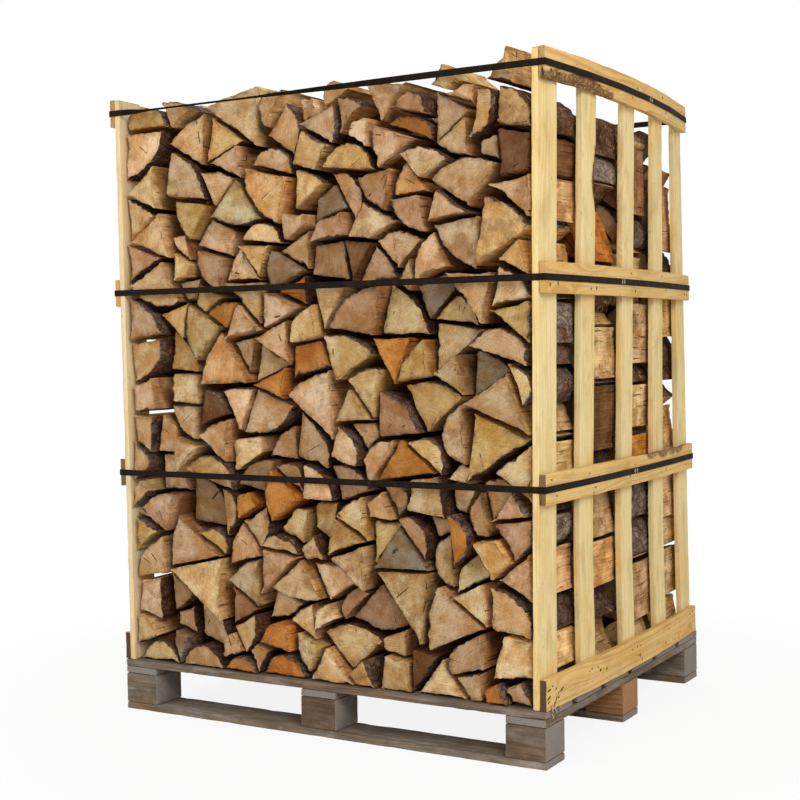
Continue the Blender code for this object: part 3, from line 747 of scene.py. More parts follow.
def board_look(name, pale, dark, ring_share, knot_share, grime_share, weathered=0.0, end=(150, 108, 62)):
    """Sawn softwood: growth lines that bend round knots, saw fuzz, grime, and dark raw ends."""
    look = Look(name)
    chance = look.read("chance")
    wane = look.read("wane")
    place = look.read("grain", "Vector") + look.vector(chance, chance, chance) * (11, 17, 5)

    def grained(share, *settings):
        """Noise drawn out along the board."""
        return look.noise(place * (1, share, 1), *settings)

    knots = look.cells(place * (3.2, 0.62, 3.2), 2.6)
    x, y, z = look.parts(place * (1, 0.10, 1))
    across = x + z * 0.7 + grained(0.16, 9) * 0.055 + knots.step(0.02, 0.30, 1.0, 0.0) * 0.035
    years = look.bands(across * 190, 2.0)
    fibres = grained(0.03, 420, 3, 0.65)
    fuzz = grained(0.35, 330, 3, 0.7)
    ripples = look.math("SINE", look.noise(place, 30, 1) * 4 + y * 9000)

    base = look.mix(years.step(0.42, 0.66) * ring_share, colour(*pale), colour(*dark))
    base = base.stained(knots.step(0.03, 0.11, knot_share * 0.6, 0.0), 190, 140, 78)
    base = base.stained(knots.step(0.020, 0.045, knot_share, 0.0), 118, 74, 38)
    base = look.mix(grained(0.3, 13, 3, 0.6).step(0.42, 0.66, 0.0, 0.70), base, base * colour(246, 230, 192))
    base = base.stained(grained(0.45, 95, 3, 0.6).step(0.66, 0.72, 0.0, 0.45), 150, 108, 60)
    base = base.stained(grained(0.4, 21, 4, 0.65).step(0.46, 0.76, 0.0, grime_share), 150, 112, 66)
    if weathered:
        base = base.stained(grained(0.2, 34, 4, 0.65).step(0.35, 0.7, 0.0, weathered), 100, 90, 78)
        base = base.stained(grained(0.02, 120).step(0.64, 0.69, 0.0, 0.65), 48, 38, 30)
        base = base.stained(grained(0.5, 15, 4, 0.65).step(0.44, 0.68, 0.0, 0.7 * weathered), 84, 66, 48)
        base = base.stained(grained(0.25, 27, 4, 0.7).step(0.50, 0.68, 0.0, 0.8 * weathered), 164, 154, 144)
    base = base * ((fibres - 0.5) * (0.34 + 0.5 * weathered) + (fuzz - 0.5) * (0.22 + 0.3 * weathered) + 1.0)
    soiled = look.read("soil") * grained(0.6, 17, 4, 0.6).step(0.30, 0.62, 0.35, 1.0)
    base = look.mix(soiled, base, base * colour(190, 174, 158))
    crust = look.noise(place, 130, 4, 0.7)
    base = base.stained(wane.step(0.0, 0.5, 0.0, 0.55), 176, 128, 72)
    base = base.stained(wane.step(0.05, 0.6) * crust.step(0.36, 0.50, 0.0, 0.85), 98, 64, 38)
    end_wood = look.join("MULTIPLY", colour(*end), grained(0.1, 260, 3) * 0.9 + 0.5)
    base = look.mix(look.read("raw"), base, end_wood)
    height = ripples * 0.12 + fibres * 0.8 + fuzz * 0.7 + wane * crust * 5.0
    return look.finish(base, 0.72 + 0.15 * weathered, height, 0.5 + 0.3 * weathered, 0.0007, 0.3)


def plastic_look():
    """Dull embossed plastic band."""
    look = Look("black_plastic")
    place = look.read("grain", "Vector")
    ribs = look.math("SINE", look.parts(place)[1] * 2800)
    scuffs = look.noise(place * (1, 0.25, 1), 220, 4, 0.7)
    base = look.mix(scuffs.step(0.5, 0.75), colour(24, 17, 12), colour(48, 36, 27))
    base = base.stained(look.noise(place, 26, 4, 0.65).step(0.50, 0.8, 0.0, 0.16), 92, 70, 50)
    return look.finish(base, scuffs.step(0.3, 0.7, 0.6, 0.8), ribs * 0.5 + scuffs, 0.5, 0.0003, 0.08)


def small_look(name, stretch, scale, turn, first, second, roughness, bump, specular, grey=0.0):
    """Two colours that give way to each other at turn; grey is how far half of the pieces are greyed."""
    look = Look(name)
    torn = look.noise(look.read("grain", "Vector") * stretch, scale, 3, 0.7)
    base = look.mix(torn.step(*turn), colour(*first), colour(*second))
    if grey:
        base = base.stained(look.read("chance").step(0.45, 0.55, 0.0, grey), 84, 68, 54)
    return look.finish(base, torn.step(0.3, 0.7, *roughness), torn, *bump, specular)


LOOKS = {
    "end": sawn_end(),
    "split": split_face(),
    "bark": bark_look(),
    "pale": board_look("pale_pine", (233, 211, 154), (213, 182, 120), 0.50, 0.9, 0.34),
    "cream": board_look("cream_pine", (229, 208, 166), (214, 185, 138), 0.45, 0.8, 0.30),
    "tan": board_look("tan_pine", (224, 187, 118), (200, 152, 84), 0.75, 0.85, 0.38, end=(84, 58, 36)),
    "grey": board_look("weathered_board", (140, 125, 109), (96, 81, 66), 0.7, 0.6, 0.55, 0.75,
                       (136, 126, 116)),
    "fresh": board_look("new_block", (172, 126, 76), (124, 82, 46), 0.8, 0.5, 0.8, 0.25, (164, 120, 76)),
    "plastic": plastic_look(),
    "iron": small_look("nail_iron", (1, 1, 1), 900, (0.4, 0.65), (52, 44, 38), (86, 56, 34), (0.45, 0.8),
                       (0.4, 0.0003), 0.5),
    "scar": small_look("torn_holes", (1, 1, 1), 700, (0.35, 0.7), (64, 38, 16), (110, 72, 34), (0.8, 0.95),
                       (0.5, 0.0005), 0.1),
    # the weld ribs are real, but their pale colour is a painted highlight standing for their glints
    "weld": small_look("weld_painted_glint", (1, 3, 0.4), 500, (0.4, 0.65), (196, 186, 170), (128, 112, 96),
                       (0.4, 0.6), (0.5, 0.0003), 0.4),
    "sliver": small_look("torn_slivers", (1, 1, 0.2), 500, (0.35, 0.65), (226, 206, 168), (186, 154, 108),
                         (0.75, 0.9), (0.4, 0.0003), 0.15, grey=0.75),
}


# ---------------------------------------------------------------- billets

WOOD_COLOURS = (             # and how often each is met
    ((206, 178, 137), 0.16), ((200, 170, 124), 0.18), ((188, 158, 120), 0.27), ((191, 155, 101), 0.12),
    ((183, 149, 112), 0.13), ((154, 121, 86), 0.07), ((184, 124, 60), 0.05), ((142, 120, 98), 0.02),
    ((108, 76, 48), 0.03))
CREST_WOOD = (186, 152, 108)             # the least that a billet on top of its row is bleached to
CREST_RISE = 0.01            # how far such a billet rises over the row's top
BARK_SHARES = {"shard": 0.45, "slab": 0.6}
TORN_SHARE = 0.18            # share of ends torn rough
END_DEPTHS = (0.0, 0.004, 0.014, 0.045, 0.110)            # rings near a billet's end
FRAYED = {0.0: 1.0, 0.004: 0.75, 0.014: 0.25}             # how much of the rim's chips reach each of them
LONG_PARTS = 11              # parts of a side that shows along its whole length
SLOT_END, SLOT_SPLIT, SLOT_BARK = range(3)
SPLIT_HEIGHT = 0.72          # where the front row, which has the finest mesh, is made in two pieces
HIGH_ZONE = 0.11             # depth under the row's top from which its billets show from above
SIDE_ZONE = 0.03             # how near a frame a billet shows between the slats,
GLIMPSE_ZONE = 0.12          # and how near it can be glimpsed there
# spacing of the points around a billet, by where it shows
FINE_FRONT, FINE_BACK, FINE_SIDE, FINE_GLIMPSED, FINE_HIDDEN = 0.0052, 0.0074, 0.0086, 0.015, 0.03


def kind_of(outline):
    """What a fresh outline is: a wedge's corners all lie as far from its first one."""
    if len(outline) == 3:
        return "shard"
    reaches = [math.dist(outline[0], corner) for corner in outline[1:]]
    if max(reaches) - min(reaches) < 1e-6:
        return "wedge"
    return "slab" if len(outline) == 4 else "half"


def bark_sides(kind, count, rng):
    """Which sides of an outline are bark."""
    sides = [False] * count
    if kind == "wedge":
        sides[1:-1] = [True] * (count - 2)
    elif kind == "half":
        sides[:-1] = [True] * (count - 1)
    elif rng.random() < BARK_SHARES[kind]:
        sides[1 if kind == "shard" else 0] = True
    return sides


def pith_of(kind, outline, rng):
    """Where the tree's middle lies, in or beside the outline."""
    corners = np.array(outline)
    if kind == "wedge":
        return corners[0]
    if kind == "half":
        return (corners[0] + corners[-1]) / 2
    middle = np.array(centre(outline))
    if kind == "shard":
        return corners[0] + (corners[0] - middle) * rng.uniform(0.0, 0.9)
    top = (corners[2] + corners[3]) / 2
    return top + (top - middle) * rng.uniform(0.2, 2.0)


def cut_plane(outline, cut, furthest):
    """The saw cut as a height field: its y at any x and z."""
    reach, slope_x, slope_z = cut
    start = reach - furthest([slope_x * x + slope_z * z for x, z in outline])
    return lambda p: start + slope_x * p[:, 0] + slope_z * p[:, 1]


def ring_depths(length, front_seen, back_seen, side_seen):
    """How deep along a billet its rings lie: close together at the ends that show."""
    def at_both(count, between):
        ends = END_DEPTHS[:count]
        return [*ends, *between, *(length - depth for depth in reversed(ends))]

    if side_seen:
        return at_both(3, [length * k / LONG_PARTS for k in range(1, LONG_PARTS)])
    if front_seen and back_seen:
        return at_both(4, [length / 2])
    if front_seen:
        return [*END_DEPTHS, length]
    if back_seen:
        return [0.0, *(length - depth for depth in reversed(END_DEPTHS))]
    return [0.0, length]


def add_billet(shells, outline, kind, cuts, seen, fine, ceiling, rng):
    """A billet between two saw cuts, its points spaced finely.

    seen says which of the front end, the back end and the sides show, and ceiling gives the height of
    the row's top at any x.
    """
    seed = rng.randrange(1 << 20)
    bark = bark_sides(kind, len(outline), rng)
    pith = pith_of(kind, outline, rng)
    chance = rng.random()
    wood = rng.choices(*zip(*WOOD_COLOURS))[0]
    wood = np.array(colour(*[channel * rng.uniform(0.975, 1.025) for channel in wood]))
    wood[:3] *= rng.uniform(0.80, 1.08)
    if max(z for _, z in outline) > ceiling(centre(outline)[0]) + CREST_RISE:
        wood = np.maximum(wood, colour(*CREST_WOOD))
    torn = rng.random() < TORN_SHARE
    notches = [(rng.random(), rng.uniform(0.010, 0.026), rng.uniform(0.002, 0.0065))
               for _ in range(rng.choice((0, 0, 1, 1, 2)))]
    wear = [0.004 + 0.014 * rng.random() ** 1.4 for _ in outline]
    points, flags, freedom = contour(outline, bark, fine, wear)
    around, inward = around_of(points)
    planes = [cut_plane(outline, cut, furthest) for cut, furthest in zip(cuts, (min, max))]
    near, far = (plane(points) for plane in planes)
    length = float((far - near).mean())
    barky = flags | np.roll(flags, 1)
    sway = 1.0 + 0.9 * seen[2]

    def along_rim(pitch, row, extra):
        return noise(around / pitch, np.full(len(points), row), seed + extra)

    def relief(y):
        def field(across, along, extra):
            return noise(around / across, (y + 9) / along, seed + extra)

        split = 0.0022 * sway * field(0.036, 0.16, 1) + 0.0011 * sway * field(0.012, 0.11, 0)
        split += 0.0007 * field(0.006, 0.05, 2)
        ridge = 1 - np.abs(2 * field(0.014, 0.035, 3) - 1)
        crust = 0.0030 * ridge ** 2 + 0.0022 * sway * field(0.03, 0.05, 4)
        bow = 0.0046 * field(0.055, 0.30, 12) * np.where(barky, 0.5, 1.0)
        return np.where(barky, crust, split) * freedom + bow

    chips = np.clip(along_rim(0.0075, 0.5, 6) - 0.50, 0, 1) * 0.0055
    for spot, width, bite in notches:
        away = np.abs((around / around[-1] - spot + 0.5) % 1.0 - 0.5) * around[-1]
        chips = chips + bite * (0.55 + 0.9 * along_rim(0.004, 2.5, 9)) * np.clip(1.3 - away / width, 0, 1)
    rings = []
    for depth in ring_depths(length, *seen):
        y = near + (far - near) * min(max(depth / length, 0.0), 1.0)
        from_end = min(depth, length - depth)
        frayed = FRAYED.get(round(from_end, 4), 0.0)
        flat = points + inward * (relief(y) + 0.0004 * (from_end == 0) + chips * frayed)[:, None]
        rings.append(np.stack([flat[:, 0], y, flat[:, 1]], axis=1))

    middle = np.array(centre(outline))

    def at_end(end, flat, amount):
        """Points on a saw cut, dented by an amount: end is 0 at the front and 1 at the back."""
        dent = 0.0034 * noise(flat[:, 0] / 0.011 + 50, flat[:, 1] / 0.011 + 50, seed + 8) * amount
        return np.stack([flat[:, 0], planes[end](flat) + (-dent if end else dent), flat[:, 1]], axis=1)

    def cap(end):
        """Rings of a sawn end with their materials, from its rim towards its middle."""
        flat = rings[-end][:, [0, 2]]
        to_middle = middle - flat
        rim = np.where(barky, 0.0024, 0.0008) * (0.5 + along_rim(0.01, 0.0, 7))
        share = np.minimum(rim / np.linalg.norm(to_middle, axis=1), 0.5)
        inset = flat + to_middle * share[:, None]
        made = [(at_end(end, inset, 0.15), np.where(flags, SLOT_BARK, SLOT_END))]
        if seen[end]:
            made.append((at_end(end, inset + (middle - inset) * 0.42, 1.0 if torn else 0.25), SLOT_END))
        return made

    front_caps, back_caps = cap(0)[::-1], cap(1)
    rings[0] = rings[0] + (0, 0.0005, 0)
    rings[-1] = rings[-1] - (0, 0.0005, 0)
    sides = [np.where(flags, SLOT_BARK, SLOT_SPLIT)] * (len(rings) - 1)
    slots = [SLOT_END, *(slot for _, slot in front_caps), *sides, *(slot for _, slot in back_caps), SLOT_END]
    rings = [ring for ring, _ in front_caps] + rings + [ring for ring, _ in back_caps]
    poles = [at_end(end, middle[None], 0.1)[0] for end in (0, 1)]
    sources = np.concatenate([poles[0][None], *rings, poles[1][None]])
    rim = np.ones((len(sources), 1))           # 0 on a cap's second ring and its pole
    rim[:1 + len(points) * (len(front_caps) - 1)] = 0.0
    rim[len(sources) - 1 - len(points) * (len(back_caps) - 1):] = 0.0
    # the last field sets how much painted shade each point of a split face or bark gets
    shells.add([settled(ring) for ring in rings], [settled(pole) for pole in poles], slots,
               grain=sources - (pith[0], 0.0, pith[1]), chance=chance, tint=wood,
               shelter=painted_shade_at(sources, *seen[:2], ceiling), rim=rim)


def settled(points):
    """From a row's own square frame into the crate, with the frames' lean and belly."""
    x, y, z = np.moveaxis(points, -1, 0)
    z = z + STACK_FLOOR
    return np.stack([(x - STACK_WIDTH / 2) * (1 + outward(y, z) / INSIDE), y, z], axis=-1)


def painted_shade_at(points, front_seen, back_seen, ceiling):
    """How deep between its neighbours each point lies, 0 in the open and 1 far in; this sets the painted
    shade on split faces and bark.
    """
    x, y, z = points.T
    depth = np.full(len(points), 0.09)
    if front_seen:
        depth = np.minimum(depth, y + DEPTH / 2)
    if back_seen:
        depth = np.minimum(depth, DEPTH / 2 - y)
    beside = np.clip(1 - (np.minimum(x, STACK_WIDTH - x) - 0.035) / 0.05, 0, 1)
    above = np.clip(1 - (ceiling(x) - 0.03 - z) / 0.07, 0, 1)
    inside = np.clip(0.15 + depth / 0.065, 0, 1) * (1 - np.maximum(beside, above))
    return inside[:, None]


def fill_row(number):
    rng = random.Random(ROW_SEEDS[number])
    looks = random.Random(ROW_SEEDS[number] + 100)
    outlines = stack(ROW_SEEDS[number], ROW_SIZES[number], ROW_TOPS[number], ROW_PEAKS[number])
    kinds = [kind_of(outline) for outline in outlines]
    outlines = settle(outlines, ROW_SEEDS[number], ROW_TOPS[number])
    at_front = number == 0
    at_back = number == ROWS - 1
    front = DEPTH * (number / ROWS - 0.5) + (0 if at_front else ROW_GAP / 2)
    back = DEPTH * ((number + 1) / ROWS - 0.5) - (0 if at_back else ROW_GAP / 2)
    band_foot = FRAME_TOP - RAIL_HEIGHT / 2 - BAND_WIDTH - STACK_FLOOR

    def ceiling(x):
        return np.interp(x - STACK_WIDTH / 2, *ROW_TOPS[number]) - STACK_FLOOR

    def cut_end(face, inward, scatter, least=0.0):
        back = max(least, END_MARGIN + scatter * rng.random() ** END_BIAS)
        return face + inward * back, END_SLOPE * rng.uniform(-1, 1), END_SLOPE * rng.uniform(-1, 1)

    first_loose = len(outlines) - LOOSE_PER_ROW
    row = f"billet_row_{number + 1}"
    parts = {}
    for i, outline in enumerate(outlines):
        xs, zs = zip(*outline)
        x, z = centre(outline)
        beside = min(min(xs), STACK_WIDTH - max(xs))
        scatter = END_SCATTER * (FLUSH_SHARE if min(beside, *zs) < FLUSH_ZONE else 1.0)
        cuts = (cut_end(front, 1, scatter, BAND_ROOM if at_front and max(zs) > band_foot else 0.0),
                cut_end(back, -1, scatter))
        shows = z > ceiling(x) - HIGH_ZONE or beside < SIDE_ZONE
        glimpsed = beside < GLIMPSE_ZONE and not (shows or at_front or at_back)
        seen = (at_front or shows or glimpsed, at_back or shows or glimpsed, shows)
        fine = (FINE_FRONT if at_front else FINE_BACK if at_back else FINE_SIDE if shows
                else FINE_GLIMPSED if glimpsed else FINE_HIDDEN)
        if i >= first_loose:
            outline = widened(outline, -LOOSE_SLACK)
            name = f"loose_billet_{number * LOOSE_PER_ROW + i - first_loose + 1}"
        else:
            name = row + ("" if number else "_upper" if z > SPLIT_HEIGHT else "_lower")
        add_billet(parts.setdefault(name, Shells()), outline, kinds[i], cuts, seen, fine, ceiling, looks)
    for name, shells in parts.items():
        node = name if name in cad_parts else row
        shells.build(f"split_{name}", ("end", "split", "bark"), [node], "split_wood", 38)


# ---------------------------------------------------------------- boards

BOARD_STEP = 0.009           # spacing of a board's points around its section
BOARD_PITCH = 0.020          # and along it
END_STEP = 0.0025            # depth of the ring behind each end
WANES = {                    # bark edges: corner of the section, start and end along the board, depth
    "right_rail_2": (3, 0.52, 1.00, 0.012),
    "right_rail_4": (1, -0.02, 0.36, 0.015),
    "left_rail_3": (3, 0.1, 0.5, 0.010),
    "right_slat_2": (2, 1.12, 1.25, 0.0085),
}
FRAME_WEAR, PALLET_WEAR = 0.0014, 0.0018
# how soiled these are, beside the rest of the pallet
SOILED = {"block_right_front": 0.9, "block_centre_front": 1.0, "block_left_front": 0.3,
          "bottom_board_front": 0.0, "block_right_middle": 0.35, "deck_board_1": 0.45}
PALLET_SOIL = 0.2
# how strongly each rail's raw ends show; 1 on other boards
DARK_ENDS = {"rail_1": 1.0, "rail_2": 0.85, "rail_3": 0.2, "rail_4": 0.45}
# boards whose look and slot aren't those of their kind
SPECIAL_LOOKS = {"left_slat_1": ("cream", "pale_pine"), "block_right_middle": ("fresh", "new_block")}


def add_plank(shells, axis, low, high, seed, side, wear, wane, end_share, soil):
    """Sawn board between two corners, lengthwise along an axis, with worn and splintered edges.

    side -1 or 1 gives it the frames' lean and belly.
    """
    across, up = (a for a in range(3) if a != axis)
    order = [across, axis, up]
    low = np.array(low)
    high = np.array(high)
    width, length, height = (high - low)[order]
    outline = [(0.0, 0.0), (width, 0.0), (width, height), (0.0, height)]
    points, _, freedom = contour(outline, [False] * 4, BOARD_STEP, [wear] * 4)
    around, inward = around_of(points)
    count = max(2, math.ceil(length / BOARD_PITCH))
    shares = [0.0, END_STEP / length, *(k / count for k in range(1, count)), 1 - END_STEP / length, 1.0]
    chance = random.Random(seed).random()
    rings = []
    waned = []
    for share in shares:
        along = np.full(len(points), length * share)
        push = 0.0006 * noise(around / 0.02, along / 0.05 + 7, seed)
        edge = np.clip(noise(around / 0.03, along / 0.03 + 3, seed + 1) - 0.60, 0, 1) * wear * 2.5
        push = push + np.where(freedom < 1, edge, 0)
        if share in (0.0, 1.0):
            push = push + 0.0007 + 0.002 * np.clip(noise(around / 0.006, along, seed + 2) - 0.6, 0, 1)
        here = np.zeros(len(points))
        if wane:
            corner, start, end, depth = wane
            reach = math.sin(math.pi * min(max((along[0] - start) / (end - start), 0), 1)) ** 0.5
            reach *= depth * (0.7 + 0.6 * float(noise(along[0] / 0.03, np.array(0.0), seed + 5)))
            if reach > 0:
                away = np.linalg.norm(points - outline[corner], axis=1)
                bite = np.clip(1 - away / (reach * 2.2), 0, 1)
                push = push + bite * reach * 0.6
                here = np.clip(bite * 2.5, 0, 1)
        flat = points + inward * push[:, None]
        ring = np.zeros((len(points), 3))
        ring[:, order] = low[order] + np.stack([flat[:, 0], along, flat[:, 1]], axis=1)
        rings.append(ring)
        waned.append(here)
    middle = (low + high) / 2
    caps = []
    poles = []
    for rim, sign in ((rings[0], 1), (rings[-1], -1)):
        to_middle = middle - rim
        to_middle[:, axis] = 0
        caps.append(rim + to_middle * (0.0012 / np.linalg.norm(to_middle, axis=1))[:, None])
        poles.append(np.where(np.arange(3) == axis, rim[0, axis], middle))
        rim[:, axis] += sign * 0.0006
    rings = [caps[0], *rings, caps[1]]
    sources = np.concatenate([poles[0][None], *rings, poles[1][None]])
    raw = np.zeros((len(sources), 1))
    raw[:1 + len(points) * 2] = raw[-1 - len(points) * 2:] = end_share

    def bent(p):
        x, y, z = np.moveaxis(p, -1, 0)
        return np.stack([x + side * outward(y, z), y, z], axis=-1) if side else p

    shells.add([bent(r) for r in rings], [bent(p) for p in poles], [0] * (len(rings) + 1),
               grain=(sources - low)[:, order], chance=chance, raw=raw, soil=soil,
               wane=np.concatenate([[0.0], waned[0], *waned, waned[-1], [0.0]])[:, None])


def straight_box(node, side):
    """A bent board's box before it was bent: its thickness is known, and its box gives the rest."""
    low, high = (list(corner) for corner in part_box(node))
    if side:
        inner = INSIDE if "slat" in node else WIDTH / 2 - RAIL_THICKNESS
        thickness = SLAT_THICKNESS if "slat" in node else RAIL_THICKNESS
        low[0], high[0] = sorted((side * inner, side * (inner + thickness)))
    return low, high


def boards():
    for index, node in enumerate(sorted(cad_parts)):
        if node.startswith(("billet", "loose", "band")):
            continue
        slat = "slat" in node
        rail = "rail" in node
        side = {"left": -1, "right": 1}[node.split("_")[0]] if slat or rail else 0
        axis = 2 if slat else 1 if rail or "stringer" in node else 0
        look, slot = SPECIAL_LOOKS.get(node, ("pale", "pale_pine") if slat else ("tan", "tan_pine") if rail
                                       else ("grey", "weathered_board"))
        shells = Shells()
        add_plank(shells, axis, *straight_box(node, side), 500 + index * 7, side,
                  FRAME_WEAR if side else PALLET_WEAR, WANES.get(node), DARK_ENDS.get(node[-6:], 1.0),
                  SOILED.get(node, 0.0 if side else PALLET_SOIL))
        shells.build(f"sawn_{node}", [look], [node], slot)


# ---------------------------------------------------------------- nails, scars and welds

RAIL_MIDDLES = [top - RAIL_HEIGHT / 2 for top in RAIL_TOPS]
# marks torn in the lowest rails: place along them, height over their middle, length, width, tilt
TORN_MARKS = (
    (-0.485, 0.010, 0.017, 0.0052, 12), (-0.487, -0.006, 0.019, 0.0060, 22),
    (-0.488, -0.016, 0.012, 0.0050, 35), (-0.452, 0.008, 0.009, 0.0040, 30),
    (-0.424, 0.001, 0.021, 0.0062, 24), (-0.452, -0.016, 0.024, 0.0046, 58),
    (-0.462, -0.026, 0.014, 0.0036, 66), (-0.476, -0.030, 0.012, 0.0034, 80),
    (-0.440, -0.004, 0.010, 0.0034, 50), (-0.219, 0.003, 0.010, 0.0080, 0),
    (-0.183, -0.001, 0.009, 0.0075, 20), (0.033, -0.012, 0.012, 0.0060, 80),
    (0.046, -0.024, 0.009, 0.0042, 60), (0.022, -0.010, 0.011, 0.0046, 10),
    (0.036, 0.012, 0.007, 0.0040, 0),
)
MARK_POINTS = 12
NAIL_TO_END = 0.012          # least distance of a nail from the frame's front and back
MARK_PROUD = 0.00012         # how far a dent or scratch stands out of its rail
TORN_PROUD = 0.0002
HEAD_PROUD = 0.0004          # and a nail's head
WELD_PLACES = (("band_bottom", 0.014), ("band_middle", -0.085), ("band_top", 0.11))
WELD_GAP = 0.015             # between a weld's two ribs
WELD_RIB = 0.0062            # width of a rib


def add_mark(shells, side, y, z, long, wide, tilt, proud, rng):
    """Thin lens-shaped chip set in a rail's outer face."""
    turns = np.arange(MARK_POINTS) / MARK_POINTS * 2 * math.pi
    ragged = np.array([rng.uniform(0.7, 1.15) for _ in turns])
    along = np.cos(turns) * long / 2 * ragged
    over = np.sin(turns) * wide / 2 * ragged
    c = math.cos(math.radians(tilt))
    s = math.sin(math.radians(tilt))

    def ring(share, height):
        ys = y + share * (along * c - over * s)
        zs = z + share * (along * s + over * c)
        return np.stack([side * (WIDTH / 2 + outward(ys, zs) + height), ys, zs], axis=1)

    rings = [ring(0.8, -0.0012), ring(1.0, -0.0003), ring(0.9, proud)]
    shells.add(rings, [rings[0].mean(0), rings[-1].mean(0)], [0] * 4, chance=rng.random())


def add_splinter(shells, start, end, width, rng):
    """Slender sliver with three sides, thickest where it comes off the board."""
    start = np.array(start)
    end = np.array(end)
    along = (end - start) / np.linalg.norm(end - start)
    across = np.cross(along, (0.3, 0.9, 0.1))
    across /= np.linalg.norm(across)
    over = np.cross(along, across)
    rings = []
    for share, girth in ((0.0, 0.8), (0.3, 1.0), (0.65, 0.7), (0.95, 0.25)):
        sag = np.array([rng.uniform(-1, 1), rng.uniform(-1, 1), 0]) * width * 0.6
        middle = start + (end - start) * share + sag
        rings.append(np.array([middle + girth * width / 2 * (math.cos(a) * across + math.sin(a) * over)
                               for a in (0.0, 2.1, 4.2)]))
    shells.add(rings, [start, end], [0] * 5, chance=rng.random())


def splinters():
    """Slivers torn off the lowest rails' front corners, over the deck."""
    rng = random.Random(31)
    shells = Shells()
    for side in (-1, 1):
        for _ in range(9):
            y = rng.uniform(-0.497, -0.43)
            z = RAIL_TOPS[0] - RAIL_HEIGHT + rng.uniform(-0.004, 0.006)
            x = WIDTH / 2 + float(outward(y, z)) - 0.0004
            reach = rng.uniform(0.008, 0.024)
            tip = (side * (x + rng.uniform(0.001, 0.006)), max(y + rng.uniform(-0.010, 0.014), -0.4995),
                   z - reach)
            add_splinter(shells, (side * x, y, z), tip, rng.uniform(0.0018, 0.0036), rng)
    shells.build("torn_splinters", ["sliver"], [], "pale_pine")


def nails():
    rng = random.Random(77)
    heads = Shells()
    marks = Shells()
    furthest = DEPTH / 2 - NAIL_TO_END
    for side in (-1, 1):
        for middle in RAIL_MIDDLES:
            for share, width in zip(SLAT_PLACES, SLAT_WIDTHS):
                for k in range(2):
                    y = DEPTH * (share - 0.5) + width * (0.4 * k - 0.2) + rng.uniform(-0.006, 0.006)
                    y = min(max(y, -furthest), furthest)
                    rise = 0.24 if rng.random() < 0.5 else -0.24
                    z = middle + RAIL_HEIGHT * rise + rng.uniform(-0.006, 0.006)
                    add_mark(marks, side, y, z, rng.uniform(0.006, 0.011), rng.uniform(0.004, 0.006),
                             rng.uniform(-30, 90), MARK_PROUD, rng)
                    size = rng.uniform(0.0034, 0.0046)
                    add_mark(heads, side, y, z, size, size * 0.95, 0, HEAD_PROUD, rng)
        for y, rise, long, wide, tilt in TORN_MARKS:
            add_mark(marks, side, y, RAIL_MIDDLES[0] + rise, long, wide, tilt, TORN_PROUD, rng)
        for _ in range(14):
            y = rng.uniform(-0.48, 0.48)
            z = rng.choice(RAIL_MIDDLES) + rng.uniform(-0.03, 0.03)
            add_mark(marks, side, y, z, rng.uniform(0.004, 0.014), rng.uniform(0.0012, 0.0024),
                     rng.uniform(-8, 20), MARK_PROUD, rng)
    heads.build("nail_heads", ["iron"], [], "black_plastic")
    marks.build("nail_holes", ["scar"], [], "tan_pine")


def welds():
    """The two ribs where each band's ends are welded; their pale colour is a painted highlight standing for
    the glints on the welds.
    """
    rng = random.Random(5)
    shells = Shells()
    proud = BAND_SLACK + BAND_THICKNESS + HEAD_PROUD
    for name, y in WELD_PLACES:
        low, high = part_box(name)
        z = (low.z + high.z) / 2
        for k in range(2):
            add_mark(shells, 1, y + WELD_GAP * k, z, BAND_WIDTH * 0.95, WELD_RIB, 90, proud, rng)
    shells.build("band_welds", ["weld"], [], "black_plastic")


# ---------------------------------------------------------------- bands

# a band's section: height over its middle and distance from the crate, in shares of width and thickness
BAND_SECTION = ((-0.5, 0.15), (-0.42, 0.0), (0.42, 0.0), (0.5, 0.15),
                (0.5, 0.85), (0.42, 1.0), (-0.42, 1.0), (-0.5, 0.85))
BAND_PITCH = 0.02            # spacing of the sections
TWIST = math.radians(84)     # how far the top band is turned along the front
TWISTED = (-0.585, -0.50, -0.18, 0.42), (0, 1, 1, 0)     # x, and the share of the twist there


def band_line(z, clearance):
    """Points around the frames' outer faces at height z, clearance away from them."""
    half = DEPTH / 2
    step = clearance * math.sqrt(0.5)
    ys = [DEPTH * (share - 0.5) for share in DEPTH_STATIONS]
    right = [(WIDTH / 2 + float(outward(y, z)) + clearance, y) for y in ys]
    front = right[0][0] - clearance
    back = right[-1][0] - clearance
    right = ([(front, -half - clearance), (front + step, -half - step)] + right
             + [(back + step, half + step), (back, half + clearance)])
    return [(x, y, z) for x, y in right + [(-x, y) for x, y in reversed(right)]]


def twisted(section):
    """A section turned about its middle, but not moved nearer to the billets behind it."""
    heart = section.mean(0)
    turn = TWIST * float(np.interp(heart[0], *TWISTED))
    _, across, up = (section - heart).T
    y = across * math.cos(turn) - up * math.sin(turn)
    z = across * math.sin(turn) + up * math.cos(turn)
    y += heart[1] - (y.min() - across.min())
    return np.stack([section[:, 0], y, z + heart[2]], axis=1)


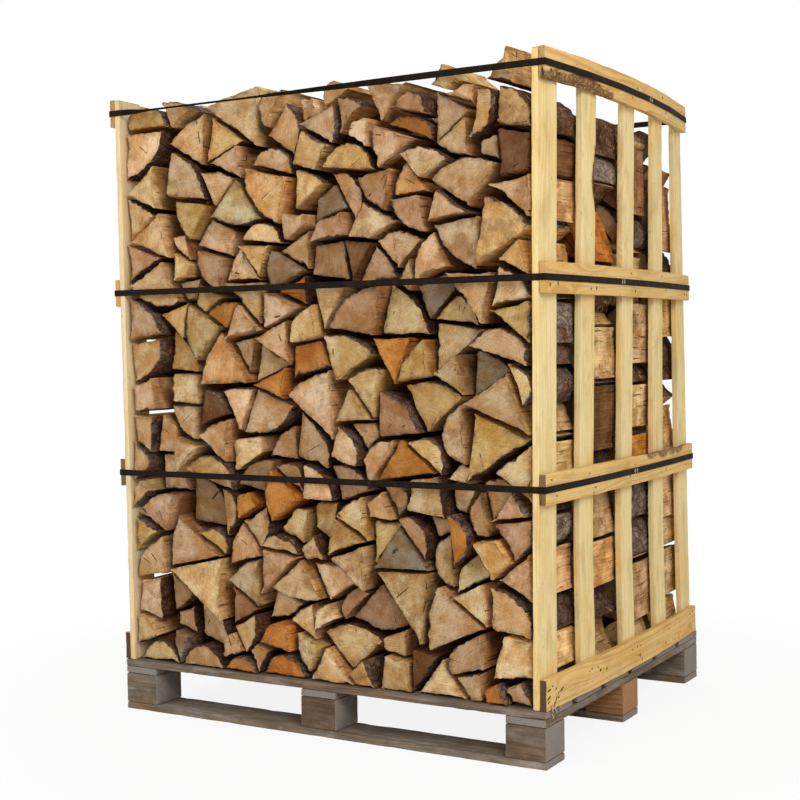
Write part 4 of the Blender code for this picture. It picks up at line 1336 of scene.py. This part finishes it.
def bands():
    for name in ("band_bottom", "band_middle", "band_top"):
        low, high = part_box(name)
        middle = (low.z + high.z) / 2
        lines = np.array([band_line(middle + height * BAND_WIDTH, BAND_SLACK + depth * BAND_THICKNESS)
                          for height, depth in BAND_SECTION])
        sections = []
        for i in range(lines.shape[1]):
            start = lines[:, i]
            end = lines[:, (i + 1) % lines.shape[1]]
            parts = max(1, round(float(np.linalg.norm(end.mean(0) - start.mean(0))) / BAND_PITCH))
            sections += [start + (end - start) * k / parts for k in range(parts)]
        if name == "band_top":
            sections = [s if s.mean(0)[1] > -DEPTH / 2 else twisted(s) for s in sections]
        size = len(BAND_SECTION)
        count = len(sections)
        points = np.concatenate(sections)
        faces = [ring_faces(k * size, (k + 1) % count * size, size) for k in range(count)]
        steps = np.diff([section.mean(0) for section in sections], axis=0)
        run = np.concatenate([[0], np.cumsum(np.linalg.norm(steps, axis=1))])
        grain = np.zeros((len(points), 3))
        grain[:, 0] = np.tile(np.arange(size), count) * 0.002
        grain[:, 1] = np.repeat(run, size)
        shells = Shells()
        shells.points = [points]
        shells.faces = np.concatenate(faces).tolist()
        shells.slots = [np.zeros(len(shells.faces))]
        shells.fields = {"grain": [grain], "chance": [np.full((len(points), 1), 0.5)]}
        shells.build(f"plastic_{name}", ["plastic"], [name], "black_plastic")


# ---------------------------------------------------------------- floor, light and camera

FLOOR_REACH = 12.0
LAMPS = (                    # name, place, size, power
    ("key", (3.6, -3.2, 3.4), 2.2, 150),
    ("fill", (-2.6, -4.4, 2.4), 2.6, 70),
    ("back", (-2.5, 3.5, 3.0), 2.6, 60),
)
LAMP_AIM = np.array([0, 0, 0.8])
EYE = (1.91813, -3.34250, 0.94664)         # where the camera stands
EYE_ANGLES = (30.537, -2.330, -0.870)      # its yaw, pitch and roll
LENS = 64.737


def any_ray(look, *kinds):
    """1 for rays of these kinds, 0 for others."""
    rays = look.tree.nodes.new("ShaderNodeLightPath").outputs
    wires = [Wire(look, rays[f"Is {kind} Ray"]) for kind in kinds]
    while len(wires) > 1:
        wires.append(look.math("MAXIMUM", wires.pop(0), wires.pop(0)))
    return wires[0]


def pale_floor():
    mesh = bpy.data.meshes.new("floor")
    signs = ((-1, -1), (1, -1), (1, 1), (-1, 1))
    mesh.from_pydata([(x * FLOOR_REACH, y * FLOOR_REACH, 0) for x, y in signs], [], [(0, 1, 2, 3)])
    floor = bpy.data.objects.new("floor", mesh)
    bpy.context.scene.collection.objects.link(floor)
    look = Look("floor")
    seen = any_ray(look, "Camera", "Glossy", "Transmission")
    look.put(look.shader.inputs["Base Color"], (0.82, 0.82, 0.82, 1.0))
    look.put(look.shader.inputs["Roughness"], 0.9)
    look.put(look.shader.inputs["Specular IOR Level"], 0.0)
    glow = look.add("Emission", {"Color": (1, 1, 1, 1), "Strength": 1.0})
    away = look.length(look.add("NewGeometry", output="Position"))
    white = seen * away.step(0.8, 1.7, 0.88, 1.0)
    mixed = look.add("MixShader", {0: white, 1: Wire(look, look.shader.outputs[0]), 2: glow})
    look.put(look.tree.nodes["Material Output"].inputs[0], mixed)
    mesh.materials.append(look.material)


def look_matrix(direction):
    back = -direction / np.linalg.norm(direction)
    right = np.cross((0, 0, 1), back)
    right /= np.linalg.norm(right)
    return np.stack([right, np.cross(back, right), back], axis=1).tolist()


def studio():
    world = bpy.data.worlds.new("studio")
    bpy.context.scene.world = world
    look = Look("studio", world)
    seen = any_ray(look, "Camera", "Glossy")
    look.put(look.shader.inputs["Color"], (1, 1, 1, 1))
    look.put(look.shader.inputs["Strength"],
             look.add("MapRange", {"Value": seen, "To Min": 0.52, "To Max": 1.0}))
    for name, place, size, power in LAMPS:
        data = bpy.data.lights.new(name, "AREA")
        data.size = size
        data.energy = power
        lamp = bpy.data.objects.new(name, data)
        lamp.location = place
        lamp.rotation_euler = Matrix(look_matrix(LAMP_AIM - place)).to_euler()
        bpy.context.scene.collection.objects.link(lamp)


def camera():
    yaw, pitch, roll = (math.radians(a) for a in EYE_ANGLES)
    ahead = np.array([-math.sin(yaw) * math.cos(pitch), math.cos(yaw) * math.cos(pitch), math.sin(pitch)])
    right = np.array([math.cos(yaw), math.sin(yaw), 0.0])
    up = np.cross(right, ahead)
    matrix = np.eye(4)
    matrix[:3, 0] = math.cos(roll) * right + math.sin(roll) * up
    matrix[:3, 1] = -math.sin(roll) * right + math.cos(roll) * up
    matrix[:3, 2] = -ahead
    matrix[:3, 3] = EYE
    data = bpy.data.cameras.new("camera")
    data.sensor_width = 36.0
    data.lens = LENS
    view = bpy.data.objects.new("camera", data)
    view.matrix_world = Matrix(matrix.tolist())
    bpy.context.scene.collection.objects.link(view)
    bpy.context.scene.camera = view


# ---------------------------------------------------------------- the crate

for row_number in range(ROWS):
    fill_row(row_number)
boards()
nails()
splinters()
bands()
welds()
pale_floor()
studio()
camera()
bpy.context.scene.view_settings.view_transform = "Standard"
bpy.context.view_layer.update()
